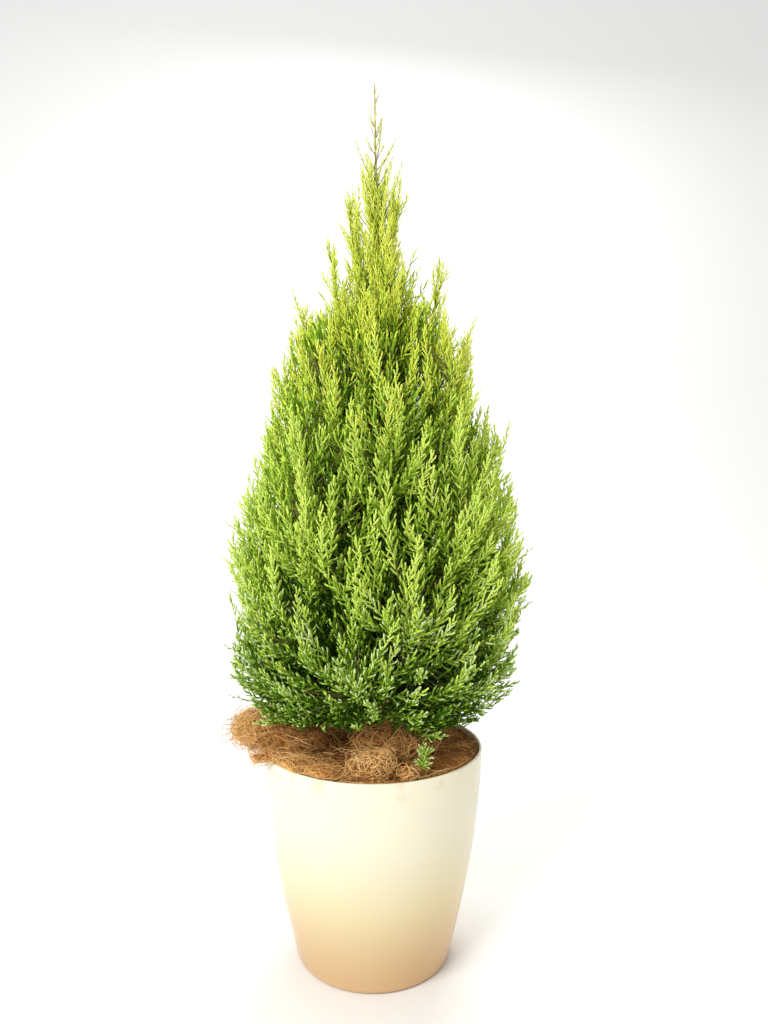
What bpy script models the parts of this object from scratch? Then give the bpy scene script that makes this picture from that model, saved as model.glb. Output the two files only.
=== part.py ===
"""Potted cypress: a young golden cypress with one leader, in a white plastic planter mulched with coir.

Metres, +Z up, the origin at the middle of the planter's flat underside. From the front (-Y) the
right side is +X. The trunk runs whole from the soil to the leader's shoot. Boughs leave it by a rule
and sweep outward and up, and each ends where its plume of foliage starts. A plume is a stem with a
slim core, and sprays of needles that stand out of it within the plume's own space.
"""
import math
import random

import bmesh
import bpy
import numpy as np
from mathutils import Vector

# Clearance between neighbouring solids
GAP = 0.0003
UP = Vector((0.0, 0.0, 1.0))

# Planter
RIM_RADIUS = 0.1492
RIM_HEIGHT = 0.2915
FOOT_RADIUS = 0.1045
FOOT_ROUND = 0.008
BELLY_POWER = 1.72
WALL = 0.0038
FLOOR = 0.006
POT_SIDES = 40
BELLY_STEPS = 6
FOOT_STEPS = 2
INNER_STEPS = 3

# Soil and coir mulch
SOIL_TOP = 0.245
COIR_BASE = 0.280
COIR_HOLE = 0.0275
COIR_RINGS = 5
COIR_SIDES = 32
# Each heap of the mulch: its middle X and Y, its height and its spread
COIR_HEAPS = (
    (0.018, -0.052, 0.036, 0.034),
    (-0.010, -0.112, 0.012, 0.022),
    (-0.065, 0.005, 0.012, 0.035),
    (0.020, 0.070, 0.014, 0.045),
    (0.105, -0.005, 0.006, 0.025),
)
COIR_ROUGHNESS = 0.003

# Hanks of coir over the rim: name, path from inside the planter outward, half thickness, half width, seed
COIR_HANKS = (
    ("coir_hank_left", ((-0.072, 0.012, 0.302), (-0.150, 0.004, 0.322), (-0.206, -0.004, 0.312)),
     0.023, 0.044, 3),
    ("coir_hank_front", ((-0.048, -0.114, 0.297), (-0.105, -0.110, 0.304), (-0.168, -0.062, 0.292)),
     0.009, 0.018, 5),
)
HANK_STEPS = 7
HANK_SIDES = 7
HANK_SWELL = 0.6
HANK_RAGGED = (0.82, 1.12)

# Trunk
TRUNK_FOOT = SOIL_TOP + GAP
TRUNK_TOP = 0.985
TRUNK_RADIUS = 0.0135
TRUNK_TOP_RADIUS = 0.0022
TRUNK_TAPER = 0.85
TRUNK_SIDES = 12
TRUNK_STEPS = 13
TRUNK_BOW = 0.005
TRUNK_LEAN = 0.002
TRUNK_STEP_POWER = 1.5
FLARE = 0.007
FLARE_FALL = 0.020
FLARE_LOBES = 5
FLARE_LOBE_DEPTH = 0.25

# Outline of the crown
CROWN_WIDEST = 0.205
CROWN_WIDEST_HEIGHT = 0.52
CROWN_ABOVE = 0.60
CROWN_ABOVE_POWER = 1.5
CROWN_BELOW = 0.235
CROWN_BELOW_POWER = 4.0
CROWN_FLOOR = 0.334
LEADER_TIP = 1.185
GOLDEN_ABOVE = 0.90
LIME_ABOVE = 0.62

# Tips that stand out at the crown's two sides and low in front: azimuth in degrees, reach and height
PLACED_TIPS = (
    (184.0, 0.064, 0.970),
    (-5.0, 0.090, 0.948),
    (174.0, 0.104, 0.890),
    (7.0, 0.132, 0.866),
    (186.0, 0.136, 0.800),
    (-7.0, 0.178, 0.722),
    (177.0, 0.152, 0.712),
    (5.0, 0.198, 0.632),
    (184.0, 0.178, 0.625),
    (-4.0, 0.205, 0.512),
    (176.0, 0.194, 0.536),
    (3.0, 0.190, 0.420),
    (183.0, 0.196, 0.400),
    (264.0, 0.188, 0.408),
    (285.0, 0.200, 0.490),
)
PLUME_COUNT = 38
TIP_CANDIDATES = 600
TIP_LOWEST = 0.385
TIP_HIGHEST = 1.055
TIP_SHARE = 0.96
TIP_CROWDING = 1.25
WIDE_SPACING = 0.128
NARROW_SPACING = 0.058

# Path of a bough and its plume from the trunk to the tip
RISE_LEAST = 0.022
RISE_SLOPE = 0.50
RISE_MOST = 0.260
RISE_FALL = 1.60
RISE_FALL_HEIGHT = 0.97
ELBOW_REACH = 0.62
ELBOW_RISE = 0.22
SWAY = 0.012
BASE_STEP = 0.014
BASE_TURN = 60.0
BASE_NUDGE = 0.002
AXIS_SAMPLES = 28
FULL_LENGTH = 0.22

# Boughs, under the longest plumes
BOUGH_COUNT = 15
BOUGH_SHARE = 0.30
BOUGH_RADIUS = 0.0040
BOUGH_TIP_RADIUS = 0.0024
BOUGH_COLLAR = 1.35
BOUGH_SIDES = 6
BOUGH_STEPS = 4

# Plumes
CORE_RADIUS = 0.046
CORE_SIDES = 6
CORE_SHARE = 0.45
CORE_STEM = 0.08
# Each whorl of the core: its place along the plume and its share of the core's radius
CORE_WHORLS = ((0.31, 0.86), (0.53, 1.00), (0.75, 0.84))
CORE_NOTCH = 0.64
CORE_NOTCH_BACK = 0.04
CORE_VALLEY = 0.84
CORE_GROWTH = 1.30
CORE_END = 0.94
LEVEL_LEAST = 0.3
SPRAY_COUNT = 5
SPRAY_LEAST = 4
SPRAY_AHEAD = 0.07
SPRAY_LONG = 0.084
SPRAY_SHORT = 0.070
SPRAY_SINK = 0.010
SPRAY_WIDTH = 0.17
SPRAY_TIP_WIDTH = 0.11
SPRAY_FIRST_WHORL = 0.44
SPRAY_LAST_WHORL = 0.76
SPRAY_SWEEP = 0.10
SPRAY_NECK = 0.045
SPRAY_ROOT = 0.0009
SPRAY_WHORLS = 2
SPRAY_LEAN_LOW = 50.0
SPRAY_LEAN_HIGH = 26.0
SPRAY_BEND = 0.16
SPRAY_SHRINKS = (1.0, 0.84, 0.70, 0.56)
SPRAY_JITTER = 0.3
SPRAY_LEAN_JITTER = 6.0
SPRAY_SLIM = 0.55
TIP_SPRAY = 0.085
TIP_SPRAY_SLIM = 0.5
TIP_SPRAY_PAST = 1.02
TIP_SPRAY_OUT = 0.9
TIP_SPRAY_LIFT = 0.1
SPACE_MARGIN = 0.002
LIMB_MARGIN = 0.002
OUTLINE_SLACK = 0.008
UPPER_SLACK = 0.028
UPPER_ABOVE = 0.90

# Leader's shoot
SHOOT_RADIUS = 0.0020
SHOOT_TIP_RADIUS = 0.0007
SHOOT_TWIGS = 11
SHOOT_TWIG_LONG = 0.062
SHOOT_TWIG_SHORT = 0.024
SHOOT_TWIG_LEAN = 30.0
SHOOT_LEAN_JITTER = 7.0
SHOOT_LENGTHS = (0.75, 1.10)
SHOOT_MARGIN = 0.0002
SHOOT_SIDES = 5
SHOOT_STEPS = 4
SHOOT_POINT = 0.012
SHOOT_TWIG_FOOT = 0.010
SHOOT_TWIG_HEAD = 0.019
SHOOT_BELOW_TIP = 0.8
SHOOT_TURN = 0.6

GOLDEN_ANGLE = math.pi * (3.0 - math.sqrt(5.0))
SEED = 11


# Materials

def linear(hex_colour):
    """The linear RGBA of an sRGB hex colour."""
    channels = [int(hex_colour[i:i + 2], 16) / 255.0 for i in (0, 2, 4)]
    return [c / 12.92 if c <= 0.04045 else ((c + 0.055) / 1.055) ** 2.4 for c in channels] + [1.0]


def material(name, hex_colour, roughness):
    """A Principled material of one colour."""
    made = bpy.data.materials.get(name)
    if made is None:
        made = bpy.data.materials.new(name)
        made.use_nodes = True
        shader = made.node_tree.nodes["Principled BSDF"]
        shader.inputs["Base Color"].default_value = linear(hex_colour)
        shader.inputs["Roughness"].default_value = roughness
        shader.inputs["Metallic"].default_value = 0.0
        made.diffuse_color = linear(hex_colour)
    return made


def pot_plastic():
    """Glossy white moulded plastic of the planter."""
    return material("gloss_white_plastic", "F3EEE2", 0.22)


def potting_mix():
    """Dark peaty potting mix."""
    return material("potting_mix", "3A2A1E", 0.95)


def coir_fibre():
    """Brown coconut fibre."""
    return material("coir_fibre", "8A5A35", 0.90)


def bark():
    """Grey-brown young bark."""
    return material("young_bark", "6E4E35", 0.85)


def foliage(height):
    """Needle foliage, from deep green low down to golden green at the top."""
    if height > GOLDEN_ABOVE:
        return material("golden_needles", "BBD43C", 0.60)
    if height > LIME_ABOVE:
        return material("lime_needles", "93BF3A", 0.60)
    return material("green_needles", "6FA23C", 0.60)


# Mesh helpers

def new_object(name, bm, mat, smooth_angle=None):
    """An object made from a bmesh, which is freed."""
    mesh = bpy.data.meshes.new(name)
    bm.to_mesh(mesh)
    bm.free()
    mesh.materials.append(mat)
    if smooth_angle is not None:
        mesh.shade_smooth()
        mesh.set_sharp_from_angle(angle=math.radians(smooth_angle))
    made = bpy.data.objects.new(name, mesh)
    bpy.context.scene.collection.objects.link(made)
    return made


def face_out(bm):
    """Turns every face of a closed bmesh outward."""
    bmesh.ops.recalc_face_normals(bm, faces=bm.faces)
    if bm.calc_volume(signed=True) < 0.0:
        bmesh.ops.reverse_faces(bm, faces=bm.faces)


def turned(profile, sides, closed=False):
    """A solid turned about Z from (radius, height) points, which close in a loop or on the axis."""
    bm = bmesh.new()
    verts = [bm.verts.new((radius, 0.0, height)) for radius, height in profile]
    edges = [bm.edges.new(pair) for pair in zip(verts, verts[1:])]
    if closed:
        edges.append(bm.edges.new((verts[-1], verts[0])))
    bmesh.ops.spin(bm, geom=verts + edges, axis=(0.0, 0.0, 1.0), cent=(0.0, 0.0, 0.0),
                   angle=2.0 * math.pi, steps=sides, use_merge=True)
    bmesh.ops.remove_doubles(bm, verts=bm.verts, dist=0.00001)
    face_out(bm)
    return bm


def lofted(rings, tip=None):
    """A closed solid of triangles through rings of equal count, closed in a point if there is a tip."""
    bm = bmesh.new()
    loops = [[bm.verts.new(point) for point in ring] for ring in rings]
    count = len(loops[0])
    bm.faces.new(loops[0])
    for low, high in zip(loops, loops[1:]):
        for k in range(count):
            after = (k + 1) % count
            bm.faces.new((low[k], low[after], high[k]))
            bm.faces.new((low[after], high[after], high[k]))
    if tip is None:
        bm.faces.new(loops[-1])
    else:
        end = bm.verts.new(tip)
        for k in range(count):
            bm.faces.new((loops[-1][k], loops[-1][(k + 1) % count], end))
    face_out(bm)
    return bm


def ring_about(centre, side, normal, radius, sides, turn=0.0):
    """Points of a ring about a centre, in the plane of two unit vectors."""
    angles = [turn + 2.0 * math.pi * i / sides for i in range(sides)]
    return [centre + radius * (math.cos(a) * side + math.sin(a) * normal) for a in angles]


def cross_frame(direction, hint):
    """Two unit vectors square to a direction, the first as near as can be to a hint."""
    side = (hint - hint.dot(direction) * direction).normalized()
    return side, direction.cross(side)


def blend(low, high, share):
    """The value that lies a share of the way from low to high."""
    return low + (high - low) * share


# Planter, soil and mulch

def pot_outer(height):
    """Outer radius of the planter at a height above its rounded foot."""
    return blend(FOOT_RADIUS, RIM_RADIUS, 1.0 - (1.0 - height / RIM_HEIGHT) ** BELLY_POWER)


def inner_heights():
    """Heights of the rings on the planter's inner wall, from its floor to its lip."""
    return [blend(FLOOR, RIM_HEIGHT - WALL / 2.0, i / INNER_STEPS) for i in range(INNER_STEPS + 1)]


def pot_inner(height):
    """Inner radius of the planter's wall, which runs straight from ring to ring."""
    heights = inner_heights()
    return float(np.interp(height, heights, [pot_outer(ring) - WALL for ring in heights]))


def build_pot():
    """The planter: flat underside, rounded foot, bellied wall and rounded lip."""
    foot_edge = pot_outer(FOOT_ROUND) - FOOT_ROUND
    profile = [(0.0, 0.0)]
    for i in range(FOOT_STEPS):
        angle = math.radians(90.0) * i / FOOT_STEPS
        profile.append((foot_edge + FOOT_ROUND * math.sin(angle), FOOT_ROUND * (1.0 - math.cos(angle))))
    for i in range(BELLY_STEPS + 1):
        height = blend(FOOT_ROUND, RIM_HEIGHT - WALL / 2.0, i / BELLY_STEPS)
        profile.append((pot_outer(height), height))
    profile.append((RIM_RADIUS - WALL * 0.25, RIM_HEIGHT))
    profile.append((RIM_RADIUS - WALL * 0.75, RIM_HEIGHT))
    profile += [(pot_inner(height), height) for height in reversed(inner_heights())]
    profile.append((0.0, FLOOR))
    new_object("pot", turned(profile, POT_SIDES), pot_plastic(), 35.0)


def build_soil():
    """The potting mix that fills the planter up to the mulch."""
    inside = [height for height in inner_heights() if height < SOIL_TOP]
    profile = [(0.0, FLOOR + GAP)]
    profile.append((pot_inner(FLOOR) - 2.0 * GAP, FLOOR + GAP))
    profile += [(pot_inner(height) - 2.0 * GAP, height) for height in inside[1:]]
    profile.append((pot_inner(SOIL_TOP) - 2.0 * GAP, SOIL_TOP))
    profile.append((0.0, SOIL_TOP))
    new_object("potting_soil", turned(profile, POT_SIDES), potting_mix(), 35.0)


def coir_height(x, y):
    """Height of the mulch's top: its general level, its heaps and a fine unevenness."""
    top = COIR_BASE
    for heap_x, heap_y, height, spread in COIR_HEAPS:
        top += height * math.exp(-((x - heap_x) ** 2 + (y - heap_y) ** 2) / (2.0 * spread ** 2))
    top += COIR_ROUGHNESS * math.sin(97.0 * x + 1.3) * math.cos(83.0 * y - 0.7)
    return top


def build_coir_heap():
    """The mulch inside the rim, a ring with the trunk in its middle."""
    outer = pot_inner(SOIL_TOP) - 2.0 * GAP
    radii = [blend(COIR_HOLE, outer, i / (COIR_RINGS - 1)) for i in range(COIR_RINGS)]
    low = SOIL_TOP + GAP
    profile = [(COIR_HOLE, low)] + [(radius, COIR_BASE) for radius in radii] + [(outer, low)]
    bm = turned(profile, COIR_SIDES, closed=True)
    for vert in bm.verts:
        if vert.co.z > COIR_BASE - 0.001:
            vert.co.z = coir_height(vert.co.x, vert.co.y)
    face_out(bm)
    new_object("coir_mulch", bm, coir_fibre(), 50.0)


def build_coir_hank(name, path, thickness, width, seed):
    """A loose hank of coir that lies on the rim and hangs out over it."""
    draw = random.Random(seed)
    controls = [Vector(point) for point in path]
    points = [bezier(controls, (i + 0.5) / (HANK_STEPS + 1)) for i in range(HANK_STEPS + 1)]
    rings = []
    for i in range(1, HANK_STEPS):
        direction = (points[i + 1] - points[i - 1]).normalized()
        side, normal = cross_frame(direction, UP.cross(direction))
        swell = math.sin(math.pi * i / HANK_STEPS) ** HANK_SWELL
        ring = []
        for k in range(HANK_SIDES):
            angle = 2.0 * math.pi * k / HANK_SIDES
            ragged = draw.uniform(*HANK_RAGGED) * swell
            ring.append(points[i] + side * (width * ragged * math.cos(angle))
                        + normal * (thickness * ragged * math.sin(angle)))
        rings.append(ring)
    bm = lofted(rings)
    bmesh.ops.poke(bm, faces=[face for face in bm.faces if len(face.verts) > 3])
    hank = new_object(name, bm, coir_fibre(), 60.0)
    cut = hank.modifiers.new("clear_of_the_rim", "BOOLEAN")
    cut.operation = "DIFFERENCE"
    cut.solver = "EXACT"
    cut.object = rim_cutter()


def rim_cutter():
    """A hidden cylinder that keeps the hanks clear of the planter and the mulch inside it."""
    cutter = bpy.data.objects.get("rim_cutter")
    if cutter is None:
        bm = turned([(0.0, SOIL_TOP), (RIM_RADIUS + GAP, SOIL_TOP), (RIM_RADIUS + GAP, RIM_HEIGHT + GAP),
                     (0.0, RIM_HEIGHT + GAP)], POT_SIDES)
        cutter = new_object("rim_cutter", bm, coir_fibre())
        cutter.hide_render = True
        cutter.display_type = "WIRE"
    return cutter


# Trunk

def trunk_centre(height):
    """The trunk's middle, which bows a little to one side and back."""
    share = (height - TRUNK_FOOT) / (LEADER_TIP - TRUNK_FOOT)
    sideways = TRUNK_BOW * math.sin(math.pi * share) + TRUNK_LEAN * share
    back = TRUNK_BOW * 0.5 * math.sin(2.0 * math.pi * share)
    return Vector((sideways, back, height))


def trunk_radius(height):
    """The radius of the trunk without its root flare, and of the leader's shoot above it."""
    if height > TRUNK_TOP:
        share = (height - TRUNK_TOP) / (LEADER_TIP - TRUNK_TOP)
        return blend(SHOOT_RADIUS, SHOOT_TIP_RADIUS, share)
    share = max((height - TRUNK_FOOT) / (TRUNK_TOP - TRUNK_FOOT), 0.0)
    return blend(TRUNK_TOP_RADIUS, TRUNK_RADIUS, (1.0 - share) ** TRUNK_TAPER)


def build_trunk():
    """The trunk, from its flat cut on the soil, through its root flare, to the leader's shoot."""
    rings = []
    for i in range(TRUNK_STEPS + 1):
        share = (i / TRUNK_STEPS) ** TRUNK_STEP_POWER
        height = blend(TRUNK_FOOT, TRUNK_TOP, share)
        flare = FLARE * math.exp(-(height - TRUNK_FOOT) / FLARE_FALL)
        centre = trunk_centre(height)
        ring = []
        for k in range(TRUNK_SIDES):
            angle = 2.0 * math.pi * k / TRUNK_SIDES
            lobe = 1.0 + FLARE_LOBE_DEPTH * math.cos(FLARE_LOBES * angle)
            radius = trunk_radius(height) + flare * lobe
            ring.append(centre + Vector((radius * math.cos(angle), radius * math.sin(angle), 0.0)))
        rings.append(ring)
    new_object("trunk", lofted(rings), bark(), 50.0)


# Crown

def crown_radius(height):
    """Reach of the crown's outline at a height."""
    if height >= CROWN_WIDEST_HEIGHT:
        share = min((height - CROWN_WIDEST_HEIGHT) / CROWN_ABOVE, 1.0)
        return CROWN_WIDEST * (1.0 - share ** CROWN_ABOVE_POWER)
    share = min((CROWN_WIDEST_HEIGHT - height) / CROWN_BELOW, 1.0)
    return CROWN_WIDEST * math.sqrt(1.0 - share ** CROWN_BELOW_POWER)


def place(azimuth, reach, height):
    """A point at an azimuth in radians, a reach from the trunk's middle, and a height."""
    centre = trunk_centre(height)
    return centre + Vector((reach * math.cos(azimuth), reach * math.sin(azimuth), 0.0))


def plume_tips():
    """Tips of all plumes, highest first: the placed tips, then the emptiest places of the outline."""
    tips = [(math.radians(degrees), reach, height) for degrees, reach, height in PLACED_TIPS]
    places = [place(*tip) for tip in tips]
    candidates = []
    for i in range(TIP_CANDIDATES):
        height = blend(TIP_LOWEST, TIP_HIGHEST, ((i + 0.5) / TIP_CANDIDATES) ** TIP_CROWDING)
        candidates.append((i * GOLDEN_ANGLE, TIP_SHARE * crown_radius(height), height))
    while len(tips) < PLUME_COUNT:
        best = None
        best_room = 0.0
        for candidate in candidates:
            height = candidate[2]
            share = (height - TIP_LOWEST) / (TIP_HIGHEST - TIP_LOWEST)
            spacing = blend(WIDE_SPACING, NARROW_SPACING, share)
            point = place(*candidate)
            room = min((point - other).length for other in places) / spacing
            if room > best_room:
                best = candidate
                best_room = room
        tips.append(best)
        places.append(place(*best))
    return sorted(tips, key=lambda tip: -tip[2])


def bezier(controls, share):
    """A point of the quadratic curve of three control points."""
    first, middle, last = controls
    near = 1.0 - share
    return near * near * first + 2.0 * near * share * middle + share * share * last


def rise_to(height):
    """How far a plume climbs from the trunk to a tip at a height."""
    rise = min(RISE_LEAST + RISE_SLOPE * (height - TIP_LOWEST), RISE_MOST)
    return rise - max(height - RISE_FALL_HEIGHT, 0.0) * RISE_FALL


def base_height(azimuth, height, taken):
    """Where a plume leaves the trunk, clear of the bases already taken near its azimuth."""
    base = height - rise_to(height)
    for _ in taken * 4:
        for other_azimuth, other_base in taken:
            turn = abs(math.remainder(azimuth - other_azimuth, 2.0 * math.pi))
            if turn < math.radians(BASE_TURN) and abs(base - other_base) < BASE_STEP:
                base += BASE_NUDGE
    return base


class Plume:
    """A bough and the foliage that grows on from it, along one curve from the trunk to the tip."""

    def __init__(self, number, azimuth, reach, height, base):
        self.number = number
        self.height = height
        self.draw = random.Random(SEED * 1000 + number)
        rise = height - base
        self.outward = Vector((math.cos(azimuth), math.sin(azimuth), 0.0))
        self.side = Vector((-math.sin(azimuth), math.cos(azimuth), 0.0))
        start = trunk_centre(base) + self.outward * (trunk_radius(base - BOUGH_RADIUS) + 2.0 * GAP)
        tip = place(azimuth, reach, height)
        elbow = trunk_centre(base) + self.outward * (ELBOW_REACH * reach)
        elbow.z += ELBOW_RISE * rise
        elbow += self.side * self.draw.uniform(-SWAY, SWAY)
        self.controls = (start, elbow, tip)
        self.shares = [i / (AXIS_SAMPLES - 1) for i in range(AXIS_SAMPLES)]
        self.axis = np.array([self.point(share) for share in self.shares])
        self.length = float(np.sqrt((np.diff(self.axis, axis=0) ** 2).sum(axis=1)).sum())
        self.slimness = min(self.length / FULL_LENGTH, 1.0)
        self.take_bough(False)

    def take_bough(self, has_bough):
        """Sets whether a bough carries the plume, and so where its foliage starts."""
        self.has_bough = has_bough
        self.mass_start = BOUGH_SHARE if has_bough else 0.0
        self.limb_axis = np.array([self.point(share * self.mass_start) for share in self.shares])

    def point(self, share):
        """The curve's point at a share of its run."""
        return bezier(self.controls, share)

    def direction(self, share):
        """The curve's direction at a share of its run."""
        first, middle, last = self.controls
        return ((middle - first) * (1.0 - share) + (last - middle) * share).normalized()

    def frame(self, share):
        """Direction, side and normal at a share of the run."""
        direction = self.direction(share)
        side, normal = cross_frame(direction, self.side)
        return direction, side, normal


class Shoot:
    """The leader's shoot, which grows on from the trunk's top and has a space of its own."""

    def __init__(self):
        self.has_bough = False
        heights = np.linspace(TRUNK_TOP, LEADER_TIP, AXIS_SAMPLES)
        self.axis = np.array([trunk_centre(height) for height in heights])


def grow_plumes():
    """All plumes from the top down, the longest of them on boughs."""
    tips = plume_tips()
    bases = []
    for azimuth, reach, height in reversed(tips):
        bases.append((azimuth, base_height(azimuth, height, bases)))
    bases.reverse()
    plumes = [Plume(i + 1, *tip, base) for i, (tip, (_, base)) in enumerate(zip(tips, bases))]
    for plume in sorted(plumes, key=lambda plume: -plume.length)[:BOUGH_COUNT]:
        plume.take_bough(True)
    return plumes


def build_bough(plume):
    """A bough: one tapering limb that meets the trunk with a collar and ends where its plume starts."""
    radius = blend(BOUGH_RADIUS, BOUGH_TIP_RADIUS, 1.0 - plume.slimness)
    rings = [ring_about(plume.point(0.0), plume.side, UP, radius * BOUGH_COLLAR, BOUGH_SIDES)]
    for i in range(1, BOUGH_STEPS + 1):
        share = i / BOUGH_STEPS
        direction, side, normal = plume.frame(share * plume.mass_start)
        girth = blend(radius, BOUGH_TIP_RADIUS, share)
        rings.append(ring_about(plume.point(share * plume.mass_start), side, normal, girth, BOUGH_SIDES))
    new_object("bough_%02d" % plume.number, lofted(rings), bark(), 50.0)


def distances(points, axis):
    """The least distance of each point to the samples of an axis."""
    return np.sqrt(((points[:, None, :] - axis[None, :, :]) ** 2).sum(axis=2)).min(axis=1)


def limb_clearances(points, spaces):
    """How far each point lies outside the trunk and every bough."""
    heights = np.clip(points[:, 2], TRUNK_FOOT, LEADER_TIP)
    centres = np.array([trunk_centre(height) for height in heights])
    radii = np.array([trunk_radius(height) for height in heights])
    free = np.sqrt(((points - centres) ** 2)[:, :2].sum(axis=1)) - radii
    for plume in spaces:
        if plume.has_bough:
            free = np.minimum(free, distances(points, plume.limb_axis) - BOUGH_RADIUS)
    return free


def keeps_to_its_space(plume, spaces, points, limb_margin=LIMB_MARGIN):
    """Whether points lie in a plume's own space, inside the outline, and clear of every limb."""
    if (points[:, 2] < CROWN_FLOOR).any() or (limb_clearances(points, spaces) < limb_margin).any():
        return False
    for point in points:
        centre = trunk_centre(point[2])
        reach = math.hypot(point[0] - centre.x, point[1] - centre.y)
        slack = UPPER_SLACK if point[2] > UPPER_ABOVE else OUTLINE_SLACK
        if reach > crown_radius(point[2]) + slack or point[2] > LEADER_TIP:
            return False
    own = distances(points, plume.axis)
    others = [distances(points, other.axis) for other in spaces if other is not plume]
    return bool((own + 2.0 * SPACE_MARGIN < np.min(others, axis=0)).all())


def spray(root, direction, bend, length, whorls, turn):
    """Rings and tip of a spray: a slim core with whorls of needles swept forward, three to a whorl."""
    steep = abs(direction.z) > 0.9
    side, normal = cross_frame(direction, Vector((1.0, 0.2, 0.0)) if steep else Vector((0.3, 0.5, 0.8)))

    def station(share):
        return root + direction * (length * share) + bend * (length * SPRAY_BEND * share * share)

    neck = length * SPRAY_NECK
    rings = [ring_about(station(0.0), side, normal, SPRAY_ROOT, 3, turn)]
    for whorl in range(whorls):
        width = length * blend(SPRAY_WIDTH, SPRAY_TIP_WIDTH, whorl / (whorls - 1.0))
        high = blend(SPRAY_FIRST_WHORL, SPRAY_LAST_WHORL, whorl / (whorls - 1.0))
        out_turn = turn + math.pi / 3.0 * (whorl + 1)
        rings.append(ring_about(station(high), side, normal, width, 3, out_turn))
        if whorl < whorls - 1:
            rings.append(ring_about(station(high - SPRAY_SWEEP), side, normal, neck, 3, out_turn))
    return rings, station(1.0)


def space_points(rings, tip):
    """The points of a spray that have to stay in the plume's space, its root left out."""
    return np.array([point for ring in rings[1:] for point in ring] + [tip])


def join(base, parts):
    """Fuses loose parts onto a base object with one union, and keeps its outer skin alone."""
    group = bpy.data.collections.new(base.name + "_parts")
    bpy.context.scene.collection.children.link(group)
    for index, bm in enumerate(parts):
        part = new_object("%s_part_%d" % (base.name, index), bm, base.data.materials[0])
        bpy.context.scene.collection.objects.unlink(part)
        group.objects.link(part)
    union = base.modifiers.new("fuse", "BOOLEAN")
    union.operation = "UNION"
    union.solver = "EXACT"
    union.operand_type = "COLLECTION"
    union.collection = group
    bpy.context.view_layer.update()
    evaluated = base.evaluated_get(bpy.context.evaluated_depsgraph_get())
    bm = bmesh.new()
    bm.from_mesh(evaluated.to_mesh())
    evaluated.to_mesh_clear()
    base.modifiers.remove(union)
    for part in list(group.objects):
        bpy.data.objects.remove(part, do_unlink=True)
    bpy.data.collections.remove(group)
    bmesh.ops.triangulate(bm, faces=bm.faces)
    keep_outer_skin(bm)
    bm.to_mesh(base.data)
    bm.free()


def islands(bm):
    """The connected groups of faces of a bmesh."""
    seen = set()
    groups = []
    for face in bm.faces:
        if face in seen:
            continue
        group = [face]
        seen.add(face)
        for item in group:
            for edge in item.edges:
                for near in edge.link_faces:
                    if near not in seen:
                        seen.add(near)
                        group.append(near)
        groups.append(group)
    return groups


def signed_volume(faces):
    """Six times the volume inside triangles that face out."""
    corners = [[vert.co for vert in face.verts] for face in faces]
    return sum(a.dot(b.cross(c)) for a, b, c in corners)


def keep_outer_skin(bm):
    """Fills sealed hollows and drops loose scrap, so that the largest body is left."""
    groups = sorted(islands(bm), key=signed_volume)
    spare = [face for group in groups[:-1] for face in group]
    bmesh.ops.delete(bm, geom=spare, context="FACES")


def core_girth(plume, spaces, share, swell):
    """Radius of the plume's core, within the room that its neighbours and the outline leave it."""
    centre = plume.point(share)
    point = np.array([centre])
    others = [other for other in spaces if other is not plume]
    room = CORE_SHARE * min(float(distances(point, other.axis)[0]) for other in others)
    room = min(room, float(limb_clearances(point, spaces)[0]) - LIMB_MARGIN, centre.z - CROWN_FLOOR)
    middle = trunk_centre(centre.z)
    reach = math.hypot(centre.x - middle.x, centre.y - middle.y)
    upright = max(plume.direction(share).z, LEVEL_LEAST)
    room = min(room, (crown_radius(centre.z) + OUTLINE_SLACK - reach) / upright)
    return max(swell * min(CORE_RADIUS * plume.slimness, room), BOUGH_TIP_RADIUS)


def core_rings(plume, spaces):
    """Rings of the stem and core, which has whorls of teeth swept forward, and the whorls' radii."""
    start = plume.mass_start
    entry = (GAP if plume.has_bough else 0.0) / plume.length

    def ring_at(station, radius, turn):
        share = start + entry + (1.0 - start) * station
        direction, side, normal = plume.frame(share)
        if share == 0.0:
            side, normal = plume.side, UP
        return ring_about(plume.point(share), side, normal, radius, CORE_SIDES, plume.number + turn)

    rings = [ring_at(0.0, BOUGH_TIP_RADIUS, 0.0), ring_at(CORE_STEM, BOUGH_TIP_RADIUS, 0.0)]
    girths = []
    for index, (station, swell) in enumerate(CORE_WHORLS):
        share = start + entry + (1.0 - start) * station
        girth = core_girth(plume, spaces, share, swell)
        if girths:
            girth = min(girth, CORE_GROWTH * girths[-1])
        centre = plume.point(share)
        teeth = ring_at(station, girth, 0.0)
        for k in range(index % 2, CORE_SIDES, 2):
            teeth[k] = blend(centre, teeth[k], CORE_VALLEY)
        rings += [teeth, ring_at(station - CORE_NOTCH_BACK, girth * CORE_NOTCH, 0.0)]
        girths.append(girth)
    return rings, girths


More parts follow.
